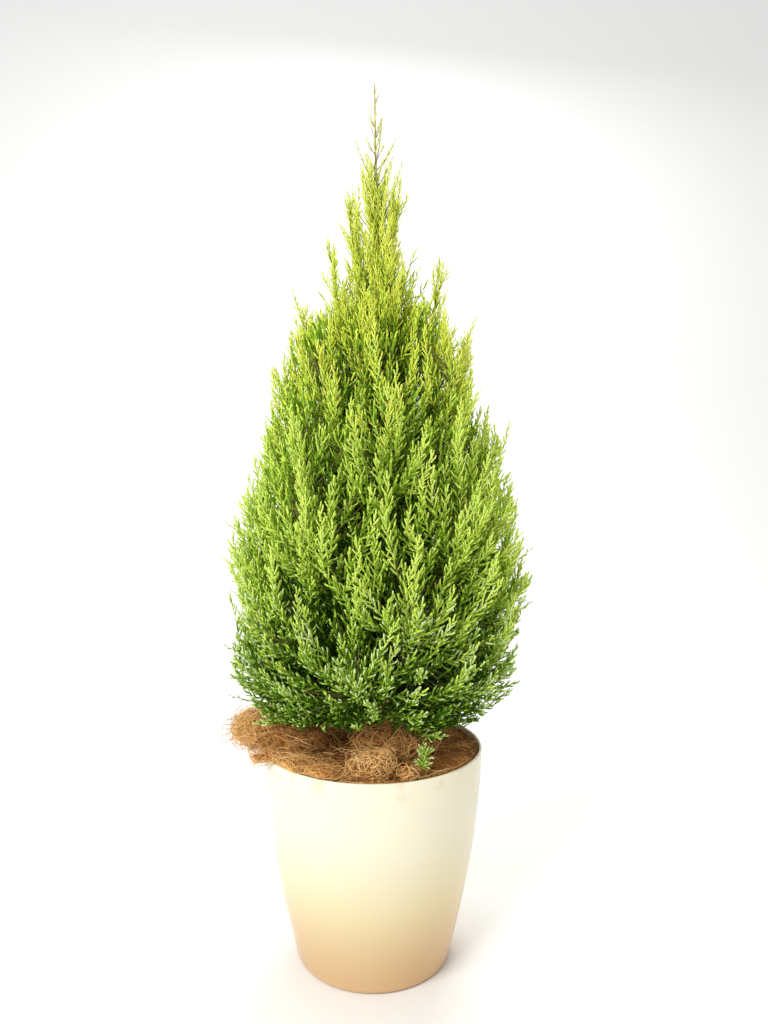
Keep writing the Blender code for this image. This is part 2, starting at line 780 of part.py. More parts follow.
def build_plume(plume, spaces):
    """A plume of foliage: a stem that swells to a slim core, with sprays fused on round it."""
    start = plume.mass_start
    rings, girths = core_rings(plume, spaces)
    base = new_object("plume_%02d" % plume.number, lofted(rings, plume.point(CORE_END)), foliage(plume.height))
    tip_length = TIP_SPRAY * blend(TIP_SPRAY_SLIM, 1.0, plume.slimness)
    tip_root = TIP_SPRAY_PAST - TIP_SPRAY_OUT * tip_length / plume.length
    parts = [lofted(*spray(plume.point(tip_root), plume.direction(blend(tip_root, 1.0, 0.5)),
                           TIP_SPRAY_LIFT * UP, tip_length, SPRAY_WHORLS, plume.number))]
    for i in range(max(round(SPRAY_COUNT * plume.slimness), SPRAY_LEAST)):
        whorl = i % len(CORE_WHORLS)
        along = whorl / (len(CORE_WHORLS) - 1.0)
        station = CORE_WHORLS[whorl][0] + SPRAY_AHEAD
        share = start + (1.0 - start) * station
        direction, side, normal = plume.frame(share)
        angle = i * GOLDEN_ANGLE + plume.number + plume.draw.uniform(-SPRAY_JITTER, SPRAY_JITTER)
        out = side * math.cos(angle) + normal * math.sin(angle)
        lean = blend(SPRAY_LEAN_LOW, SPRAY_LEAN_HIGH, along)
        lean = math.radians(lean + plume.draw.uniform(-SPRAY_LEAN_JITTER, SPRAY_LEAN_JITTER))
        heading = (direction * math.cos(lean) + out * math.sin(lean)).normalized()
        length = blend(SPRAY_LONG, SPRAY_SHORT, along) * blend(SPRAY_SLIM, 1.0, plume.slimness)
        turn = plume.draw.uniform(0.0, 2.0 * math.pi)
        root = plume.point(share) + out * max(girths[whorl] * CORE_NOTCH - SPRAY_SINK, 0.0)
        for shrink in SPRAY_SHRINKS:
            rings, tip = spray(root, heading, direction, length * shrink, SPRAY_WHORLS, turn)
            if keeps_to_its_space(plume, spaces, space_points(rings, tip)):
                parts.append(lofted(rings, tip))
                break
    join(base, parts)


def build_leader_shoot(shoot, spaces):
    """The leader's shoot above the crown, with short sprays along it."""
    draw = random.Random(SEED)
    across = Vector((1.0, 0.0, 0.0))
    back = Vector((0.0, 1.0, 0.0))
    rings = []
    for i in range(SHOOT_STEPS + 1):
        height = blend(TRUNK_TOP + GAP, LEADER_TIP - SHOOT_POINT, i / SHOOT_STEPS)
        rings.append(ring_about(trunk_centre(height), across, back, trunk_radius(height), SHOOT_SIDES))
    base = new_object("leader_shoot", lofted(rings, trunk_centre(LEADER_TIP)), foliage(LEADER_TIP))
    parts = []
    for i in range(SHOOT_TWIGS):
        share = i / (SHOOT_TWIGS - 1.0)
        height = blend(TRUNK_TOP + SHOOT_TWIG_FOOT, LEADER_TIP - SHOOT_TWIG_HEAD, share)
        angle = i * GOLDEN_ANGLE + SHOOT_TURN
        lean = math.radians(SHOOT_TWIG_LEAN + draw.uniform(-SHOOT_LEAN_JITTER, SHOOT_LEAN_JITTER))
        out = across * math.cos(angle) + back * math.sin(angle)
        heading = out * math.sin(lean) + UP * math.cos(lean)
        length = blend(SHOOT_TWIG_LONG, SHOOT_TWIG_SHORT, share) * draw.uniform(*SHOOT_LENGTHS)
        length = min(length, (LEADER_TIP - height) / heading.z * SHOOT_BELOW_TIP)
        rings, tip = spray(trunk_centre(height), heading, UP, length, SPRAY_WHORLS, draw.uniform(0.0, math.pi))
        if keeps_to_its_space(shoot, spaces, space_points(rings, tip), SHOOT_MARGIN):
            parts.append(lofted(rings, tip))
    join(base, parts)


def clear_scene():
    """Removes whatever the scene holds."""
    for item in list(bpy.data.objects):
        bpy.data.objects.remove(item, do_unlink=True)


def main():
    clear_scene()
    build_pot()
    build_soil()
    build_coir_heap()
    for hank in COIR_HANKS:
        build_coir_hank(*hank)
    build_trunk()
    plumes = grow_plumes()
    for plume in plumes:
        if plume.has_bough:
            build_bough(plume)
    shoot = Shoot()
    spaces = plumes + [shoot]
    for plume in plumes:
        build_plume(plume, spaces)
    build_leader_shoot(shoot, spaces)


main()
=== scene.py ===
# %% [markdown]
# # A potted cypress, dressed
# The solids of a young golden cypress in its planter are loaded first, as a frame that nothing here
# moves. They give the trunk, the boughs and the plumes of foliage their places. This lesson grows each
# plume again by the same rule, down to its needles, and gives bark, coir, soil and plastic their
# finishes. Every piece is made where it belongs, in metres, with its object at the origin.

# %% Load the solids as a fixed frame
import math
import random

import bmesh
import bpy
import numpy as np
from mathutils import Matrix, Vector, noise


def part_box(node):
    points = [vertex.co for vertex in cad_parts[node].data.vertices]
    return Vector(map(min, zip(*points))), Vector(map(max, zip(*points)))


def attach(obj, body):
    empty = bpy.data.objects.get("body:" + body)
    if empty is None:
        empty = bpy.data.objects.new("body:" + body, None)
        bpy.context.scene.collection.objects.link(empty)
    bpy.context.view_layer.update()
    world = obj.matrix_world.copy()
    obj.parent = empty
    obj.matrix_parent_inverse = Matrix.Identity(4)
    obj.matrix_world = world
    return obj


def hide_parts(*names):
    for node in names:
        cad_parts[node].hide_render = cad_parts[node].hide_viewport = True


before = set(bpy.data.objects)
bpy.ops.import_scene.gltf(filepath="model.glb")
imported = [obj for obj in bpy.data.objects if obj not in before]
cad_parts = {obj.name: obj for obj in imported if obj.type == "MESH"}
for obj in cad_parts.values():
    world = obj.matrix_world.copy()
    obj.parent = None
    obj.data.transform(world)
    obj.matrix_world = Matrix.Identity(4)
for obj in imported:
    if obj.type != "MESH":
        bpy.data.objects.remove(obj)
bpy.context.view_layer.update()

scene = bpy.context.scene
UP = Vector((0.0, 0.0, 1.0))
GOLDEN_ANGLE = math.pi * (3.0 - math.sqrt(5.0))

# %% [markdown]
# ## The camera
# The picture was taken from about chest height, a metre away, looking slightly down. A camera is a
# place, a tilt and a focal length, and all three came from fitting the planter's rim and foot. The
# focal length is known in pixels, so it is turned into millimetres on the usual 36 mm sensor.

# %% Set up the camera
PICTURE_HEIGHT = 1024
FOCAL_PIXELS = 780.0
SENSOR = 36.0
CAMERA_PLACE = (0.0146, -1.066, 0.665)
CAMERA_DOWN = 2.89

camera_data = bpy.data.cameras.new("camera")
camera_data.sensor_width = SENSOR
camera_data.lens = FOCAL_PIXELS / PICTURE_HEIGHT * SENSOR
camera = bpy.data.objects.new("camera", camera_data)
camera.location = CAMERA_PLACE
camera.rotation_euler = (math.radians(90.0 - CAMERA_DOWN), 0.0, 0.0)
scene.collection.objects.link(camera)
scene.camera = camera
print("lens:", round(camera_data.lens, 2), "mm")

# %% [markdown]
# ## Colours and nodes
# A colour is easiest to pick as the hex value that a screen shows. The renderer works in linear light,
# so one function turns the one into the other. A second function adds a shader node, sets its inputs,
# and links those that are given another node's output. With it a material reads as a short list. Bark,
# twigs, coir and soil are all built in one way: a fine texture gives both their colour and their relief.

# %% Helpers for materials
def linear(hex_colour):
    """The linear RGBA of an sRGB hex colour."""
    channels = [int(hex_colour[i:i + 2], 16) / 255.0 for i in (0, 2, 4)]
    return [c / 12.92 if c <= 0.04045 else ((c + 0.055) / 1.055) ** 2.4 for c in channels] + [1.0]


def add(tree, kind, inputs=None, **settings):
    """Adds a node with its settings, and sets or links its inputs."""
    made = tree.nodes.new(kind)
    for name, value in settings.items():
        setattr(made, name, value)
    for name, value in (inputs or {}).items():
        if isinstance(value, bpy.types.NodeSocket):
            tree.links.new(value, made.inputs[name])
        else:
            made.inputs[name].default_value = value
    return made


def principled(name, **inputs):
    """A new material with a Principled shader, and that shader's inputs by name."""
    made = bpy.data.materials.new(name)
    made.use_nodes = True
    shader = made.node_tree.nodes["Principled BSDF"]
    for key, value in inputs.items():
        shader.inputs[key.replace("_", " ")].default_value = value
    return made, made.node_tree, shader


def ramp(tree, factor, stops):
    """A colour ramp through (place, hex colour) stops, read by a factor."""
    made = add(tree, "ShaderNodeValToRGB", {"Fac": factor})
    while len(made.color_ramp.elements) < len(stops):
        made.color_ramp.elements.new(0.5)
    for element, (place, colour) in zip(made.color_ramp.elements, stops):
        element.position = place
        element.color = linear(colour)
    return made.outputs["Color"]


def mapped(tree, value, start, end, low, high, **settings):
    """A value between a start and an end, turned into one between low and high."""
    inputs = {"Value": value, "From Min": start, "From Max": end, "To Min": low, "To Max": high}
    return add(tree, "ShaderNodeMapRange", inputs, **settings).outputs["Result"]


def grained(name, roughness, kind, grain, stops, relief=None, stretch=None, sunken=False):
    """A matt material whose colour and relief both follow one fine texture."""
    made, tree, shader = principled(name, Roughness=roughness)
    space = add(tree, "ShaderNodeTexCoord").outputs["Object"]
    if stretch:
        space = add(tree, "ShaderNodeMapping", {"Vector": space, "Scale": stretch}).outputs["Vector"]
    value = add(tree, kind, {"Vector": space, **grain}).outputs[0]
    tree.links.new(ramp(tree, value, stops), shader.inputs["Base Color"])
    if relief:
        bump = add(tree, "ShaderNodeBump", {"Height": value, **relief}, invert=sunken)
        tree.links.new(bump.outputs["Normal"], shader.inputs["Normal"])
    return made


# %% [markdown]
# ## Pieces
# A piece is a mesh that rides on the plant's one body. It may stand for solids of the frame, which then
# aren't shown, and it takes its finish from one material. Large pieces are made from arrays of points
# and triangles, because tens of thousands of needles are far too many to add by hand.

# %% Helpers for pieces
def piece(name, shape, material, stands_for=(), smooth=True):
    """An object for a bmesh or for arrays, which rides on the plant and may replace solids."""
    mesh = mesh_of(name, shape) if isinstance(shape, bmesh.types.BMesh) else mesh_of_arrays(name, *shape)
    if smooth:
        mesh.shade_smooth()
    made = bpy.data.objects.new(name, mesh)
    scene.collection.objects.link(made)
    mesh.materials.append(material)
    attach(made, "root")
    if stands_for:
        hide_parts(*sorted(stands_for))
    triangles = sum(len(polygon.vertices) - 2 for polygon in mesh.polygons)
    print(name, triangles, "triangles")
    return made


def mesh_of(name, bm):
    """A mesh made from a bmesh, which is freed."""
    mesh = bpy.data.meshes.new(name)
    bm.to_mesh(mesh)
    bm.free()
    return mesh


def mesh_of_arrays(name, points, triangles):
    """A mesh made from arrays of points and of triangles."""
    mesh = bpy.data.meshes.new(name)
    mesh.vertices.add(len(points))
    mesh.vertices.foreach_set("co", np.ascontiguousarray(points, np.float32).ravel())
    mesh.loops.add(3 * len(triangles))
    mesh.loops.foreach_set("vertex_index", np.ascontiguousarray(triangles, np.int32).ravel())
    mesh.polygons.add(len(triangles))
    mesh.polygons.foreach_set("loop_start", np.arange(0, 3 * len(triangles), 3, dtype=np.int32))
    mesh.update(calc_edges=True)
    return mesh


def spun(profile, steps, closed=False):
    """A bmesh of a profile of (radius, height) points, spun about the upright axis."""
    bm = bmesh.new()
    verts = [bm.verts.new((radius, 0.0, height)) for radius, height in profile]
    edges = [bm.edges.new(pair) for pair in zip(verts, verts[1:] + verts[:1] * closed)]
    bmesh.ops.spin(bm, geom=verts + edges, axis=UP, cent=(0.0, 0.0, 0.0), angle=2.0 * math.pi,
                   steps=steps, use_merge=True)
    return bm


def cleaned(bm):
    """The bmesh with its doubled points merged and its faces turned outwards."""
    bmesh.ops.remove_doubles(bm, verts=bm.verts, dist=0.00001)
    bmesh.ops.recalc_face_normals(bm, faces=bm.faces)
    return bm


def unit(vectors):
    """Rows of an array scaled to length one."""
    return vectors / np.maximum(np.linalg.norm(vectors, axis=-1, keepdims=True), 1e-12)


def hint_for(directions):
    """A direction for each row of directions that isn't along it."""
    return np.where(np.abs(directions[:, 2:3]) < 0.9, [[0.0, 0.0, 1.0]], [[1.0, 0.0, 0.0]])


def tubes(paths, radii, sides):
    """Points and triangles of tapering tubes, one along each path of the same count of points."""
    paths = np.asarray(paths, float)
    radii = np.asarray(radii, float)
    tangents = unit(np.gradient(paths, axis=1))
    hint = hint_for(tangents[:, 0])[:, None]
    side = unit(hint - (hint * tangents).sum(-1, keepdims=True) * tangents)
    normal = np.cross(tangents, side)
    angles = 2.0 * np.pi * np.arange(sides) / sides
    ring = (side[:, :, None, :] * np.cos(angles)[None, None, :, None]
            + normal[:, :, None, :] * np.sin(angles)[None, None, :, None])
    points = paths[:, :, None, :] + ring * radii[:, :, None, None]
    count, stations = paths.shape[:2]
    k = np.arange(sides)
    after = (k + 1) % sides
    low = np.arange(stations - 1)[:, None] * sides
    quads = np.stack([low + k, low + after, low + sides + after, low + sides + k], axis=-1)
    quads = quads.reshape(-1, 4)
    triangles = np.concatenate([quads[:, [0, 1, 2]], quads[:, [0, 2, 3]]])
    fans = [[0, j + 1, j] for j in range(1, sides - 1)]
    end = (stations - 1) * sides
    fans += [[end, end + j, end + j + 1] for j in range(1, sides - 1)]
    triangles = np.concatenate([triangles, fans])
    offsets = (np.arange(count) * stations * sides)[:, None, None]
    return points.reshape(-1, 3), (triangles[None] + offsets).reshape(-1, 3)


# %% [markdown]
# ## Numbers and directions
# Growth is full of values that change from one end of a range to the other, and of leaning directions.
# A few small functions keep such steps readable.

# %% Helpers for numbers and directions
def blend(low, high, share):
    """The value that lies a share of the way from low to high."""
    return low + (high - low) * share


def clamp(value, low=0.0, high=1.0):
    """The value, or the limit that it would pass."""
    return min(max(value, low), high)


def passed(value, start, end):
    """How much of the way from a start to an end a value has gone, from none to all."""
    return clamp((value - start) / (end - start))


def level_at(azimuth):
    """The level unit vector at an azimuth."""
    return Vector((math.cos(azimuth), math.sin(azimuth), 0.0))


def risen(azimuth, rise):
    """The unit vector at an azimuth and at an angle above level."""
    flat = math.cos(rise)
    return Vector((math.cos(azimuth) * flat, math.sin(azimuth) * flat, math.sin(rise)))


def leaned(axis, side, lean):
    """The direction that leans from an axis to a side by an angle."""
    return axis * math.cos(lean) + side * math.sin(lean)


# %% [markdown]
# ## The plant's growth rule
# The trunk bows a little on its way up. The crown's outline is a cone with a full, rounded foot. Plumes
# reach for tips spread over that outline: some are placed where the plant has them, and each other one
# takes the emptiest place left. A plume leaves the trunk below its tip and sweeps outward and up along
# one curve. These are the rule and the sizes that the solids were grown by.

# %% Driving sizes of the trunk and the crown
GAP = 0.0003
TRUNK_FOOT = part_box("trunk")[0].z
TRUNK_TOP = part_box("trunk")[1].z
LEADER_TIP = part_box("leader_shoot")[1].z
TRUNK_RADIUS = 0.0135
TRUNK_TOP_RADIUS = 0.0022
TRUNK_TAPER = 0.85
TRUNK_BOW = 0.005
TRUNK_LEAN = 0.002
FLARE = 0.007
FLARE_FALL = 0.020
FLARE_LOBES = 5
FLARE_LOBE_DEPTH = 0.25
SHOOT_RADIUS = 0.0020
SHOOT_TIP_RADIUS = 0.0007
CROWN_WIDEST = 0.205
CROWN_WIDEST_HEIGHT = 0.52
CROWN_ABOVE = 0.60
CROWN_ABOVE_POWER = 1.5
CROWN_BELOW = 0.235
CROWN_BELOW_POWER = 4.0
PLACED_TIPS = (
    (184.0, 0.064, 0.970),
    (-5.0, 0.090, 0.948),
    (174.0, 0.104, 0.890),
    (7.0, 0.132, 0.866),
    (186.0, 0.136, 0.800),
    (-7.0, 0.178, 0.722),
    (177.0, 0.152, 0.712),
    (5.0, 0.198, 0.632),
    (184.0, 0.178, 0.625),
    (-4.0, 0.205, 0.512),
    (176.0, 0.194, 0.536),
    (3.0, 0.190, 0.420),
    (183.0, 0.196, 0.400),
    (264.0, 0.188, 0.408),
    (285.0, 0.200, 0.490),
)
PLUME_COUNT = len([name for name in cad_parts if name.startswith("plume_")])
TIP_CANDIDATES = 600
TIP_LOWEST = 0.385
TIP_HIGHEST = 1.055
TIP_SHARE = 0.96
TIP_CROWDING = 1.25
WIDE_SPACING = 0.128
NARROW_SPACING = 0.058
RISE_LEAST = 0.022
RISE_SLOPE = 0.50
RISE_MOST = 0.260
RISE_FALL = 1.60
RISE_FALL_HEIGHT = 0.97
ELBOW_REACH = 0.62
ELBOW_RISE = 0.22
SWAY = 0.012
BASE_STEP = 0.014
BASE_TURN = 60.0
BASE_NUDGE = 0.002
BOUGH_RADIUS = 0.0040
BOUGH_TIP_RADIUS = 0.0024
BOUGH_COLLAR = 1.35
FULL_LENGTH = 0.22
SEED = 11


# %% The trunk's line and the crown's outline
def trunk_centre(height):
    """The trunk's middle, which bows a little to one side and back."""
    share = (height - TRUNK_FOOT) / (LEADER_TIP - TRUNK_FOOT)
    sideways = TRUNK_BOW * math.sin(math.pi * share) + TRUNK_LEAN * share
    back = TRUNK_BOW * 0.5 * math.sin(2.0 * math.pi * share)
    return Vector((sideways, back, height))


def trunk_radius(height):
    """The radius of the trunk without its root flare, and of the leader's shoot above it."""
    if height > TRUNK_TOP:
        return blend(SHOOT_RADIUS, SHOOT_TIP_RADIUS, passed(height, TRUNK_TOP, LEADER_TIP))
    share = passed(height, TRUNK_FOOT, TRUNK_TOP)
    return blend(TRUNK_TOP_RADIUS, TRUNK_RADIUS, (1.0 - share) ** TRUNK_TAPER)


def crown_radius(height):
    """Reach of the crown's outline at a height."""
    if height >= CROWN_WIDEST_HEIGHT:
        share = min((height - CROWN_WIDEST_HEIGHT) / CROWN_ABOVE, 1.0)
        return CROWN_WIDEST * (1.0 - share ** CROWN_ABOVE_POWER)
    share = min((CROWN_WIDEST_HEIGHT - height) / CROWN_BELOW, 1.0)
    return CROWN_WIDEST * math.sqrt(1.0 - share ** CROWN_BELOW_POWER)


def place(azimuth, reach, height):
    """A point at an azimuth in radians, a reach from the trunk's middle, and a height."""
    return trunk_centre(height) + Vector((reach * math.cos(azimuth), reach * math.sin(azimuth), 0.0))


# %% The plumes' tips and bases
def plume_tips():
    """Tips of all plumes, highest first: the placed tips, then the emptiest places of the outline."""
    tips = [(math.radians(degrees), reach, height) for degrees, reach, height in PLACED_TIPS]
    places = [place(*tip) for tip in tips]
    candidates = []
    for i in range(TIP_CANDIDATES):
        height = blend(TIP_LOWEST, TIP_HIGHEST, ((i + 0.5) / TIP_CANDIDATES) ** TIP_CROWDING)
        candidates.append((i * GOLDEN_ANGLE, TIP_SHARE * crown_radius(height), height))
    while len(tips) < PLUME_COUNT:
        best = None
        best_room = 0.0
        for candidate in candidates:
            spacing = blend(WIDE_SPACING, NARROW_SPACING, passed(candidate[2], TIP_LOWEST, TIP_HIGHEST))
            point = place(*candidate)
            room = min((point - other).length for other in places) / spacing
            if room > best_room:
                best = candidate
                best_room = room
        tips.append(best)
        places.append(place(*best))
    return sorted(tips, key=lambda tip: -tip[2])


def base_height(azimuth, height, taken):
    """Where a plume leaves the trunk, clear of the bases already taken near its azimuth."""
    rise = min(RISE_LEAST + RISE_SLOPE * (height - TIP_LOWEST), RISE_MOST)
    base = height - rise + max(height - RISE_FALL_HEIGHT, 0.0) * RISE_FALL
    for _ in taken * 4:
        for other_azimuth, other_base in taken:
            turn = abs(math.remainder(azimuth - other_azimuth, 2.0 * math.pi))
            if turn < math.radians(BASE_TURN) and abs(base - other_base) < BASE_STEP:
                base += BASE_NUDGE
    return base


def square_to(direction, hint):
    """Two unit vectors square to a direction, the first as near as can be to a hint."""
    side = (hint - hint.dot(direction) * direction).normalized()
    return side, direction.cross(side)


class Curve:
    """A limb's line, which leaves its start towards an elbow and comes from there to its tip."""

    def __init__(self, start, elbow, tip):
        self.controls = (start, elbow, tip)
        steps = [self.point(i / 27.0) for i in range(28)]
        self.length = sum((b - a).length for a, b in zip(steps, steps[1:]))

    def point(self, share):
        """The curve's point at a share of its run."""
        first, middle, last = self.controls
        near = 1.0 - share
        return near * near * first + 2.0 * near * share * middle + share * share * last

    def direction(self, share):
        """The curve's direction at a share of its run."""
        first, middle, last = self.controls
        return ((middle - first) * (1.0 - share) + (last - middle) * share).normalized()


class Plume(Curve):
    """A bough and the foliage that grows on from it, along one curve from the trunk to the tip."""

    def __init__(self, number, azimuth, reach, height, base):
        self.node = "plume_%02d" % number
        self.bough = "bough_%02d" % number
        self.has_bough = self.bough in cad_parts
        self.draw = random.Random(SEED * 1000 + number)
        outward = level_at(azimuth)
        self.side = Vector((-outward.y, outward.x, 0.0))
        start = trunk_centre(base) + outward * (trunk_radius(base - BOUGH_RADIUS) + 2.0 * GAP)
        elbow = trunk_centre(base) + outward * (ELBOW_REACH * reach)
        elbow.z += ELBOW_RISE * (height - base)
        elbow += self.side * self.draw.uniform(-SWAY, SWAY)
        super().__init__(start, elbow, place(azimuth, reach, height))
        self.slimness = min(self.length / FULL_LENGTH, 1.0)


def grow_plumes():
    """All plumes from the top down."""
    tips = plume_tips()
    bases = []
    for azimuth, reach, height in reversed(tips):
        bases.append((azimuth, base_height(azimuth, height, bases)))
    bases.reverse()
    return [Plume(i + 1, *tip, base) for i, (tip, (_, base)) in enumerate(zip(tips, bases))]


plumes = grow_plumes()
print("plumes:", len(plumes), "on boughs:", sum(plume.has_bough for plume in plumes))

# %% [markdown]
# ## Twiglets
# What reads as fur on this plant is a twiglet: a green shoot about two centimetres long, hidden under
# awl-shaped leaves a few millimetres long that lean forward. A cone makes the shoot. Each leaf is a
# keeled needle of two faces that meet along its back. Three lengths in two variants are enough, since
# each copy is turned, scaled and bent on its own. Each is kept in two parts, because the outer part is
# a season younger and lighter, and ends in a bud. A coarse kind serves the shaded inside.

# %% Model the twiglets
TWIGLET_LENGTHS = (0.009, 0.0135, 0.018)
NEEDLE_LENGTH = 0.0022
NEEDLE_HALF_WIDTH = 0.00085
NEEDLE_KEEL = 0.00045
NEEDLE_LEAN = 27.0
NEEDLE_STEP = 0.0020
STEM_RADII = (0.00122, 0.00105)
YOUNG_SHARE = 0.66
BUD_FROM = 0.92
COARSE_TWIGLET = 3
COARSE_SWELL = 1.2


def twiglet_part(length, seed, young, swell=1.0):
    """Points and triangles of the older or the younger part of a twiglet along +Z."""
    draw = random.Random(seed)
    bm = bmesh.new()
    if not young:
        sections = ((0.0, YOUNG_SHARE),)
    elif swell > 1.0:
        sections = ((YOUNG_SHARE, 1.0),)
    else:
        sections = ((YOUNG_SHARE, BUD_FROM), (BUD_FROM, 1.0))
    for low, high in sections:
        middle = Matrix.Translation((0.0, 0.0, 0.5 * (low + high) * length))
        radii = [swell * blend(*STEM_RADII, share) for share in (low, high)]
        bmesh.ops.create_cone(bm, cap_ends=False, segments=3, depth=(high - low) * length, matrix=middle,
                              radius1=radii[0], radius2=0.0 if high == 1.0 else radii[1])
    count = int(length / (NEEDLE_STEP * swell ** 2))
    for i in range(count):
        share = (i + 0.5) / count
        lean = math.radians(blend(NEEDLE_LEAN, 0.4 * NEEDLE_LEAN, share ** 3) + draw.uniform(-6.0, 6.0))
        size = NEEDLE_LENGTH * swell * draw.uniform(0.85, 1.15)
        if (share > YOUNG_SHARE) != young:
            continue
        radius = 0.75 * swell * blend(*STEM_RADII, share)
        width = NEEDLE_HALF_WIDTH * swell
        foot = share * length
        spin = Matrix.Rotation(i * GOLDEN_ANGLE + seed, 4, "Z")
        corners = ((radius, -width, foot),
                   (radius + NEEDLE_KEEL * swell, 0.0, foot - 0.0003),
                   (radius, width, foot),
                   (radius + size * math.sin(lean), 0.0, foot + size * math.cos(lean)))
        left, keel, right, end = [bm.verts.new(spin @ Vector(corner)) for corner in corners]
        bm.faces.new((left, keel, end))
        bm.faces.new((keel, right, end))
    bmesh.ops.triangulate(bm, faces=bm.faces)
    bm.verts.index_update()
    points = np.array([vert.co[:] for vert in bm.verts])
    triangles = np.array([[vert.index for vert in face.verts] for face in bm.faces])
    bm.free()
    return points, triangles


templates = {}
for variant in range(2):
    for young in (0, 1):
        for size_index, template_length in enumerate(TWIGLET_LENGTHS):
            seed = 10 * size_index + variant + 1
            templates[size_index, variant, young] = twiglet_part(template_length, seed, bool(young))
        coarse = twiglet_part(TWIGLET_LENGTHS[-1], variant + 41, bool(young), COARSE_SWELL)
        templates[COARSE_TWIGLET, variant, young] = coarse
for kind in range(4):
    print("twiglet", kind, "triangles:", sum(len(templates[kind, 0, young][1]) for young in (0, 1)))

# %% [markdown]
# ## The foliage's outline
# A twiglet that would leave the crown's outline or run into the trunk is left out. The outline has a
# little slack, and a slow noise makes it uneven, because real shoots don't all stop at one surface. It
# is drawn in at a few heights. At the top only spires stand out of the leader's slim column, and at the
# foot the foliage ends higher in front than at the back.

# %% The foliage's outline and its floor
CROWN_FLOOR = 0.320
COLUMN_RADIUS = 0.024
COLUMN_SLOPE = 0.27
COLUMN_FROM = 0.865
COLUMN_WHOLE = 0.905
COLUMN_UNTIL = 1.09
COLUMN_END = 1.16
OUTLINE_SLACK = 0.006
OUTLINE_UNEVEN = 0.012
UNEVEN_SIZE = 0.045
# Where the outline is drawn in: the height, the spread, and how deep it is on the left and on the right.
DRAWN_IN = ((0.71, 0.09, 0.012, 0.008), (0.47, 0.05, 0.017, 0.0), (0.43, 0.05, 0.0, 0.010))
FOOT_SLACK = 0.008
FOOT_HEIGHTS = (0.38, 0.34)
SPIRE_SLACK = 0.005
SPIRE_LOW = (0.86, 0.96)
SPIRE_HIGH = (1.06, 0.97)
SPIRE_LEAST = 0.25
SPIRE_ROOM = 0.009
SPIRE_SLOPE = 0.36
FLOOR_SLOPE = 0.27
BACK_SLOPE = 0.12
FLOOR_BUMPS = ((0.076, -0.020), (0.018, 0.012))
FLOOR_BUMP_WIDTH = 0.024


def foliage_reach(height):
    """Reach of the foliage at a height: the crown's outline, and the leader's slim column above it."""
    column = COLUMN_RADIUS * passed(height, COLUMN_END, COLUMN_UNTIL)
    column += COLUMN_SLOPE * max(1.0 - height, 0.0)
    return blend(crown_radius(height), column, passed(height, COLUMN_FROM, COLUMN_WHOLE))


def reach_of(point):
    """How far a point lies from the trunk's middle at its height."""
    centre = trunk_centre(point.z)
    return math.hypot(point.x - centre.x, point.y - centre.y)


def slack_at(point):
    """How far foliage may stand out from the crown's outline at a point."""
    slack = OUTLINE_SLACK + OUTLINE_UNEVEN * noise.noise(point / UNEVEN_SIZE)
    slack += SPIRE_SLACK * passed(point.z, *SPIRE_LOW) * max(passed(point.z, *SPIRE_HIGH), SPIRE_LEAST)
    for height, spread, left, right in DRAWN_IN:
        depth = left if point.x < 0.0 else right
        slack -= depth * math.exp(-((point.z - height) / spread) ** 2)
    foot = FOOT_SLACK if point.x < 0.0 else -FOOT_SLACK
    return slack + foot * passed(point.z, *FOOT_HEIGHTS)


spires = [plume for plume in plumes if plume.controls[2].z > COLUMN_FROM]
spire_points = np.array([spire.point(i / 40.0)[:] for spire in spires for i in range(20, 41)])
spire_tips = np.array([spire.controls[2].z for spire in spires for i in range(20, 41)])


def outline_at(point):
    """How far out foliage may reach: at the top only spires stand out of the leader's column."""
    narrow = passed(point.z, COLUMN_FROM, COLUMN_WHOLE)
    if narrow > 0.0:
        rooms = np.linalg.norm(spire_points - np.array(point[:]), axis=1)
        room = float((rooms - SPIRE_SLOPE * np.maximum(spire_tips - point.z, 0.0)).min())
        narrow *= clamp(room / SPIRE_ROOM - 1.0)
    reach = blend(crown_radius(point.z), foliage_reach(point.z), narrow)
    return reach + slack_at(point) * (1.0 - 0.5 * narrow)


def floor_at(point):
    """How low foliage may hang at a point: higher in front, but for one place, and lower at the back."""
    if point.y >= 0.0:
        return CROWN_FLOOR - BACK_SLOPE * point.y
    lowest = CROWN_FLOOR - FLOOR_SLOPE * point.y
    for x, height in FLOOR_BUMPS:
        lowest += height * math.exp(-((point.x - x) / FLOOR_BUMP_WIDTH) ** 2)
    return lowest


print("spires:", len(spires))

# %% [markdown]
# ## Rows of numbers
# Everything that grows is first written down as rows of numbers: where a twiglet starts, where it
# points, how it bends and how light it is. Each row is kept under one of thirteen tones. They go from the
# shaded inside to the newest growth, and the light ones come in cool green, lime and gold by height.

# %% Tones and rows of twiglets
TONE_COUNT = 13
FIRST_LIGHT = 4
LIGHT_TONES = 3
COOL_BELOW = 0.46
LIME_BELOW = 0.76
YOUNG_STEPS = (2.4, 2.0)
YOUNG_STEP_HEIGHTS = (0.45, 0.75)
TONE_DROP = 0.3
FAMILY_BLUR = 0.07
# Tone by height: the gold towards the top is the plant's own, the darkening towards the foot painted
# shade.
TONE_BY_HEIGHT = (
    (0.32, 1.6),
    (0.37, 2.6),
    (0.42, 3.5),
    (0.50, 4.5),
    (0.56, 5.2),
    (0.66, 6.1),
    (0.76, 5.6),
    (0.84, 5.5),
    (0.90, 5.9),
)
# Painted shade: tones a twiglet loses per metre deeper inside the outline, low in the crown and high.
PAINTED_DEPTH_SHADE = (30.0, 24.0)
PAINTED_DEPTH_SHADE_HEIGHTS = (0.36, 0.88)
DEPTH_MOST = 0.10
FINE_HEIGHTS = (0.60, 1.02)
FINE_LENGTH = 0.62
FINE_SPREAD = 0.80
FINE_GIRTH = 0.62
FINE_STEP = 0.70
COARSE_LONG = 0.022

